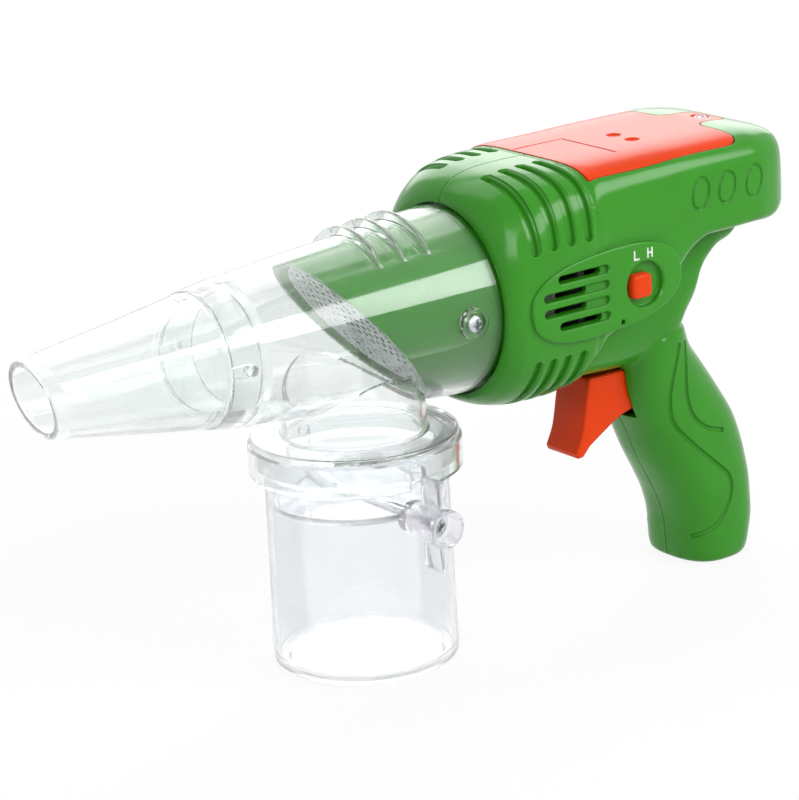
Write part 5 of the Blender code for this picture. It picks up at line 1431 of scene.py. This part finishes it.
def hollow_room():
    """Room inside the housing, less the screw posts and the spring's rib."""
    room = body_solid("room", WALL, SEAT_WALL_X + SEAT_WALL, 3.0, 64)
    combine(room, neck_solid("neck_room", WALL, 40), "UNION")
    combine(room, grip_solid("grip_room", WALL, 40), "UNION")
    reach = 2 * DRUM_HALF_WIDTH
    posts = [rod("post", HOUSING_BOSS_RADIUS, -reach, reach, "Y", (x, 0.0, z)) for x, z in HOUSING_SCREWS]
    combine(room, joined("posts", posts))
    rib_front = SPRING_END + GAP
    rib_low = SPRING_Z - SPRING_RADIUS - SPRING_RIB
    rib_high = SPRING_Z + SPRING_RADIUS + SPRING_RIB
    combine(room, box("rib", (rib_front, -reach, rib_low), (rib_front + SPRING_RIB, reach, rib_high)))
    combine(room, rod("post", HOUSING_BOSS_RADIUS, 0.0, BODY_TOP, "Z", (COVER_SCREW_X, 0.0, 0.0)))
    return room


def corner_slots():
    """Cutters for the blind slots round the drum's four long corners, with flared lips."""
    cutters = []
    for first, pitch, start, end in (UPPER_SLOTS, LOWER_SLOTS):
        for i in range(CORNER_SLOTS):
            cutter = corner_slot(first + i * pitch, start, end)
            cutters += [cutter, mirrored(cutter)]
    return joined("corner_slots", cutters)


def drum_point(x, angle):
    """Point (y, z) on the drum's cross-section at x, at an angle seen from its middle."""
    low_power, high_power = smooth_between(x, body_rows())[-2:]
    power = high_power if angle > 0.0 else low_power
    turn = math.atan(math.tan(abs(angle)) ** (power / 2))
    return body_point(x, math.copysign(turn, angle))


def corner_slot(x, start, end, count=40):
    """Cutter for one slot, swept over the near side's skin between two angles."""
    path = []
    for j in range(-1, count + 2):
        y, z = drum_point(x, start + (end - start) * j / count)
        path.append(Vector((0.0, -y, z)))
    reach = sum((b - a).length for a, b in zip(path[1:], path[2:-1]))
    rings = []
    passed = 0.0
    for j in range(1, count + 2):
        if j > 1:
            passed += (path[j] - path[j - 1]).length
        normal = Vector((1.0, 0.0, 0.0)).cross(path[j + 1] - path[j - 1]).normalized()
        if normal.dot(path[j] - Vector((0.0, 0.0, AXIS_Z))) < 0.0:
            normal = -normal
        near_end = min(passed, reach - passed) / CORNER_SLOT_HALF
        width = math.sqrt(max(0.06, 1.0 - (1.0 - min(1.0, near_end)) ** 2))
        rings.append([
            path[j] + Vector((x + a * width, 0.0, 0.0)) + normal * b for a, b in corner_slot_section()
        ])
    return loft("corner_slot", rings)


def corner_slot_section():
    """Section of a corner slot: offset along X and height over the skin."""
    half = CORNER_SLOT_HALF
    lip = CORNER_SLOT_LIP
    right = [
        (half, -CORNER_SLOT_DEPTH),
        (half, -lip),
        (half + lip * 0.4, -lip * 0.3),
        (half + lip, 0.05),
        (half + lip, 2.0),
    ]
    left = [(-a, b) for a, b in reversed(right)]
    return left[-1:] + right + left[:-1]


def panel_slots():
    """Cutters for the air slots: shallow troughs with flared lips, and the through part in front."""
    troughs = []
    through = []
    for i, length in enumerate(SLOT_LENGTHS):
        level = PANEL_Z + (i - (len(SLOT_LENGTHS) - 1) / 2) * SLOT_PITCH
        front = SLOT_REAR_X - length
        for side in (-1, 1):
            rings = []
            for depth, grow in ((-SLOT_SHALLOW, 0.0), (-SLOT_LIP, 0.0), (0.0, SLOT_LIP), (4.0, SLOT_LIP)):
                outline = stadium(front - grow, SLOT_REAR_X + grow, level, SLOT_HEIGHT + 2 * grow)
                rings.append([(x, side * (PANEL_FACE + depth), z) for x, z in outline])
            troughs.append(loft("trough", rings))
            outline = stadium(front, front + SLOT_OPEN, level, SLOT_HEIGHT)
            ends = sorted((side * (HEAD_HALF_WIDTH - 2 * WALL), side * 2 * PANEL_FACE))
            through.append(prism("through", outline, "Y", *ends))
    return joined("troughs", troughs), joined("through", through)


def on_skin(surface, x, z, side):
    """Point of the housing's flank at a side-view place."""
    start = Vector((x, side * 2 * DRUM_HALF_WIDTH, z))
    hit = surface.ray_cast(start, Vector((0.0, -side, 0.0)))
    return hit[0]


def grip_lines(surface):
    """Cutters for the moulded lines on both sides of the grip."""
    cutters = []
    for points in (GRIP_PANEL_LINE, GRIP_THUMB_LINE):
        for side in (-1, 1):
            line = [on_skin(surface, p.x, p.y, side) for p in spline(points)]
            cutters.append(pipe("line", line, GRIP_LINE_RADIUS, 12))
    return joined("grip_lines", cutters)


def head_rings(surface):
    """Cutters for the three leaning oval rings on each side of the head."""
    cutters = []
    for x in HEAD_RINGS:
        outline = power_outline(*HEAD_RING_HALF, HEAD_RING_POWER, 48, (x, HEAD_RING_Z), HEAD_RING_LEAN)
        for side in (-1, 1):
            line = [on_skin(surface, a, b, side) for a, b in outline]
            cutters.append(pipe("ring", line, HEAD_RING_RADIUS, 10, True))
    return joined("head_rings", cutters)


def tab_floor():
    """Height of the seat's floor under the cover's tab."""
    return BODY_TOP - COVER_THICKNESS - TAB_BOSS_DEPTH - GAP


def plate_outline(grow):
    """Plan of the cover's wide plate."""
    front = COVER_FRONT - grow
    rear = COVER_REAR + grow
    half = COVER_HALF_WIDTH + grow
    return rounded([(front, half, 1.0), (rear, half, 5.0), (rear, -half, 5.0), (front, -half, 1.0)])


def cover_outline(grow):
    """Plan of the whole cover: the plate and its screw tab, joined by S-curved edges."""
    front = COVER_FRONT - grow
    rear = COVER_REAR + grow
    half = COVER_HALF_WIDTH + grow
    tab = TAB_HALF_WIDTH + grow
    tip = TAB_REAR + grow
    one_side = [(front, half, 1.0), (rear, half, 5.0), (rear, tab, 5.0), (tip, tab, 4.0)]
    return rounded(one_side + [(x, -y, fillet) for x, y, fillet in reversed(one_side)], 7)


def trigger_slot():
    """Cutter for the slot that the trigger slides in."""
    half = TRIGGER_HALF_WIDTH + GAP
    reach, drop = TRIGGER_SLOT
    low = (TRIGGER_TAIL_X - reach * TRIGGER_REACH, -half, TRIGGER_TOP - drop * TRIGGER_DROP)
    high = (TRIGGER_TAIL_X + TRIGGER_TRAVEL + GAP, half, TRIGGER_TOP + GAP)
    return box("trigger_slot", low, high)


def screw_pilots():
    """Cutters for the screws' pilot holes in the posts."""
    pilot = SCREW_RADIUS + GAP
    low = HOUSING_SCREW_SEAT - GAP - HOUSING_SCREW_LENGTH - GAP
    holes = [rod("pilot", pilot, low, HOUSING_SCREW_SEAT, "Y", (x, 0.0, z)) for x, z in HOUSING_SCREWS]
    wide = SCREW_RADIUS + COVER_SCREW_PLAY
    centre = (COVER_SCREW_X, 0.0, 0.0)
    holes.append(rod("pilot", wide, BODY_TOP - PILOT_DEPTH, 2 * BODY_TOP, "Z", centre))
    return joined("pilots", holes)


def screw_recesses():
    """Cutters for the deep screw holes on the far side."""
    radius = HEAD_RADIUS + GAP
    floor = HOUSING_SCREW_SEAT - GAP
    holes = [rod("recess", radius, floor, 2 * DRUM_HALF_WIDTH, "Y", (x, 0.0, z)) for x, z in HOUSING_SCREWS]
    return joined("recesses", holes)


def switch_recess():
    """Cutter for the round recess of the speed button and the small pin hole by the slots."""
    face = PANEL_FACE
    corners = [
        (0.0, SWITCH_DEPTH - face, 0.0),
        (SWITCH_RADIUS, SWITCH_DEPTH - face, 0.5),
        (SWITCH_RADIUS, SWITCH_LIP - face, 0.3),
        (SWITCH_RADIUS + SWITCH_LIP, -face, 0.0),
        (SWITCH_RADIUS + SWITCH_LIP, -2 * face, 0.0),
        (0.0, -2 * face, 0.0),
    ]
    recess = lathe("recess", rounded(corners), "Y", (SWITCH_X, 0.0, SWITCH_Z), 64)
    pin = rod("pin_hole", PIN_HOLE_RADIUS, -2 * face, PIN_HOLE_DEPTH - face, "Y", PIN_HOLE)
    return joined("recess", [recess, pin])


def stem_slot():
    """Cutter for the slot under the speed button's stem."""
    reach = (BUTTON_TRAVEL + BUTTON_STEM) / 2 + GAP
    outline = stadium(SWITCH_X - reach, SWITCH_X + reach, SWITCH_Z, BUTTON_STEM + 2 * GAP)
    return prism("stem_slot", outline, "Y", -2 * PANEL_FACE, -(HEAD_HALF_WIDTH - 2 * WALL))


# Cover, trigger, spring, button and letters

def make_cover(materials):
    """Orange battery cover flush with the head, with a drawn line, finger dimples and a screw tab."""
    cover = prism("battery_cover_plate", cover_outline(0.0), "Z", BODY_TOP - COVER_EDGE, 2 * BODY_TOP)
    combine(cover, body_solid("crown"), "INTERSECT")
    combine(cover, body_solid("under", COVER_THICKNESS, SEAT_WALL_X, 2.0, 80))
    centre = (COVER_SCREW_X, 0.0, 0.0)
    seat = BODY_TOP - HEAD_HEIGHT - GAP
    boss_low = BODY_TOP - COVER_THICKNESS - TAB_BOSS_DEPTH
    combine(cover, rod("boss", TAB_BOSS_RADIUS, boss_low, seat, "Z", centre), "UNION")
    shank = SCREW_RADIUS + GAP
    head = HEAD_RADIUS + GAP
    combine(cover, lathe("well", [
        (0.0, boss_low - 2.0),
        (shank, boss_low - 2.0),
        (shank, seat - GAP),
        (head, seat - GAP),
        (head, BODY_TOP - 0.4),
        (head + COVER_WELL_LIP, BODY_TOP + 0.2),
        (head + COVER_WELL_LIP, 2 * BODY_TOP),
        (0.0, 2 * BODY_TOP),
    ], "Z", centre, SMALL_STEPS))
    combine(cover, cover_marks())
    place(cover, "cover", ["battery_cover"], "orange_plastic", materials)


def cover_marks():
    """Cutters for the drawn corner line and the two finger dimples on the cover."""
    marks = [pipe("line", [(x, y, BODY_TOP) for x, y in COVER_LINE], COVER_LINE_RADIUS, 8)]
    profile = [(radius, BODY_TOP + height) for radius, height in DIMPLE_PROFILE]
    for y in COVER_DIMPLES:
        marks.append(lathe("dimple", profile, "Z", (COVER_DIMPLE_X, y, 0.0), 32))
    return joined("marks", marks)


# Side view of the trigger: shares of its reach forward of the tail and of its drop below the top
TRIGGER_FRONT = ((0.750, 0.0), (0.819, 0.318), (0.892, 0.682), (1.0, 0.927))
TRIGGER_TIP = ((0.977, 1.0), (0.885, 0.991))
TRIGGER_UNDER = ((0.769, 0.873), (0.538, 0.736), (0.269, 0.591), (0.0, 0.523))


def make_trigger(materials):
    """Orange finger blade with a hollow front face and rounded edges."""
    shares = spline(TRIGGER_FRONT) + [Vector(p) for p in TRIGGER_TIP] + spline(TRIGGER_UNDER)
    shares.append(Vector((0.0, 0.0)))
    outline = [(TRIGGER_TAIL_X - p.x * TRIGGER_REACH, TRIGGER_TOP - p.y * TRIGGER_DROP) for p in shares]
    trigger = prism("trigger_blade", outline, "Y", -TRIGGER_HALF_WIDTH, TRIGGER_HALF_WIDTH)
    bevel_edges(trigger, TRIGGER_EDGE, 4, 50.0)
    place(trigger, "trigger", ["trigger"], "orange_plastic", materials)


def make_spring(materials):
    """Return spring behind the trigger, an even coil of wire."""
    start = TRIGGER_TAIL_X + GAP + SPRING_WIRE
    length = SPRING_END - SPRING_WIRE - start
    steps = SPRING_TURNS * 28
    points = []
    for i in range(steps + 1):
        share = i / steps
        angle = 2 * math.pi * SPRING_TURNS * share
        points.append((
            start + length * share,
            SPRING_RADIUS * math.cos(angle),
            SPRING_Z + SPRING_RADIUS * math.sin(angle),
        ))
    spring = pipe("trigger_spring_coil", points, SPRING_WIRE, 10)
    place(spring, "housing", ["trigger_spring"], "zinc_steel", materials)
    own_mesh(spring)


def make_button(materials):
    """Sliding speed button: a domed square cap on a stem."""
    x = SWITCH_X - BUTTON_TRAVEL / 2
    floor = PANEL_FACE - SWITCH_DEPTH + GAP
    top = PANEL_FACE + BUTTON_PROUD
    rings = []
    for fall, inset in ((top - floor, 0.0), *BUTTON_CROWN):
        half = BUTTON_SIZE / 2 - inset
        outline = power_outline(half, half, BUTTON_POWER, 64, (x, SWITCH_Z))
        rings.append([(a, fall - top, b) for a, b in outline])
    button = loft("speed_button_cap", rings)
    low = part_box("speed_button")[1][1] / METRES
    stem = rod("stem", BUTTON_STEM / 2, -(top + floor) / 2, low, "Y", (x, 0.0, SWITCH_Z))
    combine(button, stem, "UNION")
    place(button, "speed", ["speed_button"], "orange_plastic", materials, 40.0)


def make_letters(materials):
    """White low and high marks over the speed button."""
    w = LETTER_WIDTH
    h = LETTER_HEIGHT
    b = LETTER_BAR
    low_mark = [(0.0, 0.0), (w, 0.0), (w, b), (b, b), (b, h), (0.0, h)]
    middle = (h - b) / 2
    high_mark = [
        (0.0, 0.0), (b, 0.0), (b, middle), (w - b, middle), (w - b, 0.0), (w, 0.0),
        (w, h), (w - b, h), (w - b, middle + b), (b, middle + b), (b, h), (0.0, h),
    ]
    outlines = {"low_mark": low_mark, "high_mark": high_mark}
    for x, (name, outline) in zip(LETTER_PLACES, outlines.items()):
        moved = [(x - w / 2 + a, LETTER_Z + c) for a, c in outline]
        mark = prism(name, moved, "Y", -PANEL_FACE - LETTER_PROUD, -PANEL_FACE + LETTER_SINK)
        place(mark, "housing", [], "white_plastic", materials)


# Inner pieces that keep their solid form
KEPT_NODES = {
    "battery_tray": "black_plastic",
    "battery_cell_1": "cell_jacket",
    "battery_cell_2": "cell_jacket",
    "battery_cell_3": "cell_jacket",
    "battery_cell_4": "cell_jacket",
    "contact_strip_left": "zinc_steel",
    "contact_strip_right": "zinc_steel",
    "motor_mount": "black_plastic",
    "motor": "zinc_steel",
    "motor_shaft": "zinc_steel",
    "impeller": "white_plastic",
    "trigger_switch": "black_plastic",
    "speed_switch": "black_plastic",
}


def dress_kept_nodes(materials):
    """Materials for the inner pieces that stay as they are."""
    for node, slot in KEPT_NODES.items():
        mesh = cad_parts[node].data
        mesh.materials.clear()
        mesh.materials.append(materials[slot])


# Stage

FLOOR_SIZE = 8.0
FLOOR_COLOUR = (0.86, 0.86, 0.86, 1.0)
FLOOR_SHADE = 0.12
SIDE_COLOUR = (0.42, 0.44, 0.45, 1.0)
SKY_COLOUR = (0.95, 0.95, 0.95, 1.0)
SKY_STRENGTH = 0.45


def shows_backdrop(nodes, links):
    """Socket that is 1 for rays from the camera, off gloss and through clear plastic."""
    path = nodes.new("ShaderNodeLightPath")
    found = path.outputs["Is Camera Ray"]
    for ray in ("Is Glossy Ray", "Is Transmission Ray"):
        either = nodes.new("ShaderNodeMath")
        either.operation = "MAXIMUM"
        links.new(found, either.inputs[0])
        links.new(path.outputs[ray], either.inputs[1])
        found = either.outputs["Value"]
    return found


def backdrop_material(name, shade):
    """White to the camera and through clear plastic, with a share of its own shading for the shadow."""
    material = bpy.data.materials.new(name)
    material.use_nodes = True
    nodes = material.node_tree.nodes
    links = material.node_tree.links
    nodes.clear()
    output = nodes.new("ShaderNodeOutputMaterial")
    lit = nodes.new("ShaderNodeBsdfDiffuse")
    lit.inputs["Color"].default_value = FLOOR_COLOUR
    glow = nodes.new("ShaderNodeEmission")
    glow.inputs["Strength"].default_value = 1.0
    seen = nodes.new("ShaderNodeMixShader")
    seen.inputs["Fac"].default_value = 1.0 - shade
    links.new(lit.outputs["BSDF"], seen.inputs[1])
    links.new(glow.outputs["Emission"], seen.inputs[2])
    choose = nodes.new("ShaderNodeMixShader")
    links.new(shows_backdrop(nodes, links), choose.inputs["Fac"])
    links.new(lit.outputs["BSDF"], choose.inputs[1])
    links.new(seen.outputs["Shader"], choose.inputs[2])
    links.new(choose.outputs["Shader"], output.inputs["Surface"])
    return material


def make_floor():
    bm = bmesh.new()
    bmesh.ops.create_grid(bm, x_segments=2, y_segments=2, size=FLOOR_SIZE)
    floor = new_object("floor", bm)
    floor.data.materials.append(backdrop_material("floor_white", FLOOR_SHADE))


def make_world():
    """Pale surroundings: brighter overhead, greyer towards the sides, and white behind clear plastic."""
    world = bpy.data.worlds.new("studio")
    bpy.context.scene.world = world
    world.use_nodes = True
    nodes = world.node_tree.nodes
    links = world.node_tree.links
    coordinates = nodes.new("ShaderNodeTexCoord")
    split = nodes.new("ShaderNodeSeparateXYZ")
    links.new(coordinates.outputs["Generated"], split.inputs["Vector"])
    ramp = nodes.new("ShaderNodeValToRGB")
    ramp.color_ramp.elements[0].position = 0.0
    ramp.color_ramp.elements[0].color = SIDE_COLOUR
    ramp.color_ramp.elements[1].position = 0.8
    ramp.color_ramp.elements[1].color = SKY_COLOUR
    links.new(split.outputs["Z"], ramp.inputs["Fac"])
    links.new(ramp.outputs["Color"], nodes["Background"].inputs["Color"])
    nodes["Background"].inputs["Strength"].default_value = SKY_STRENGTH
    white = nodes.new("ShaderNodeBackground")
    white.inputs["Color"].default_value = (1.0, 1.0, 1.0, 1.0)
    choose = nodes.new("ShaderNodeMixShader")
    links.new(shows_backdrop(nodes, links), choose.inputs["Fac"])
    links.new(nodes["Background"].outputs["Background"], choose.inputs[1])
    links.new(white.outputs["Background"], choose.inputs[2])
    links.new(choose.outputs["Shader"], nodes["World Output"].inputs["Surface"])


def area_light(name, place_at, target, size, power):
    """Rectangular soft lamp aimed at a target."""
    light = bpy.data.lights.new(name, "AREA")
    light.shape = "RECTANGLE"
    light.size = size[0]
    light.size_y = size[1]
    light.energy = power
    lamp = bpy.data.objects.new(name, light)
    bpy.context.scene.collection.objects.link(lamp)
    lamp.location = place_at
    aim = Vector(target) - Vector(place_at)
    lamp.rotation_euler = aim.to_track_quat("-Z", "Y").to_euler()


# Soft lamps: name, place, target, size and power
MIDDLE = (0.03, 0.0, 0.08)
TUBE_MIDDLE = (0.02, 0.0, 0.11)
LAMPS = (
    ("top_softbox", (0.1, 0.5, 1.05), MIDDLE, (1.2, 0.7), 4.5),
    ("key_softbox", (-0.75, -0.75, 0.75), MIDDLE, (0.7, 0.5), 5.5),
    ("near_softbox", (0.48, -0.74, 0.62), TUBE_MIDDLE, (0.7, 0.46), 6.5),
    ("back_softbox", (0.7, 1.0, 0.55), MIDDLE, (1.4, 0.7), 6.0),
)


def make_camera():
    """Camera at the photograph's angle."""
    data = bpy.data.cameras.new("camera")
    data.sensor_fit = "HORIZONTAL"
    data.sensor_width = CAMERA_SENSOR
    data.lens = CAMERA_LENS
    data.clip_end = CAMERA_END
    camera = bpy.data.objects.new("camera", data)
    bpy.context.scene.collection.objects.link(camera)
    back = CAMERA_BACK.normalized()
    right = CAMERA_RIGHT.normalized()
    up = back.cross(right).normalized()
    location = back * CAMERA_DISTANCE + right * CAMERA_SHIFT[0] + up * CAMERA_SHIFT[1]
    camera.matrix_world = Matrix((
        (right.x, up.x, back.x, location.x * METRES),
        (right.y, up.y, back.y, location.y * METRES),
        (right.z, up.z, back.z, location.z * METRES),
        (0.0, 0.0, 0.0, 1.0),
    ))
    bpy.context.scene.camera = camera


def main():
    materials = make_materials()
    for make in (
        make_nozzle, make_tube, make_screws, make_holder, make_net, make_jar, make_shutter, make_knob,
        make_housing, make_cover, make_trigger, make_spring, make_button, make_letters, dress_kept_nodes,
    ):
        make(materials)
    make_floor()
    make_world()
    for lamp in LAMPS:
        area_light(*lamp)
    make_camera()
    bpy.context.scene.view_settings.view_transform = "Standard"


main()
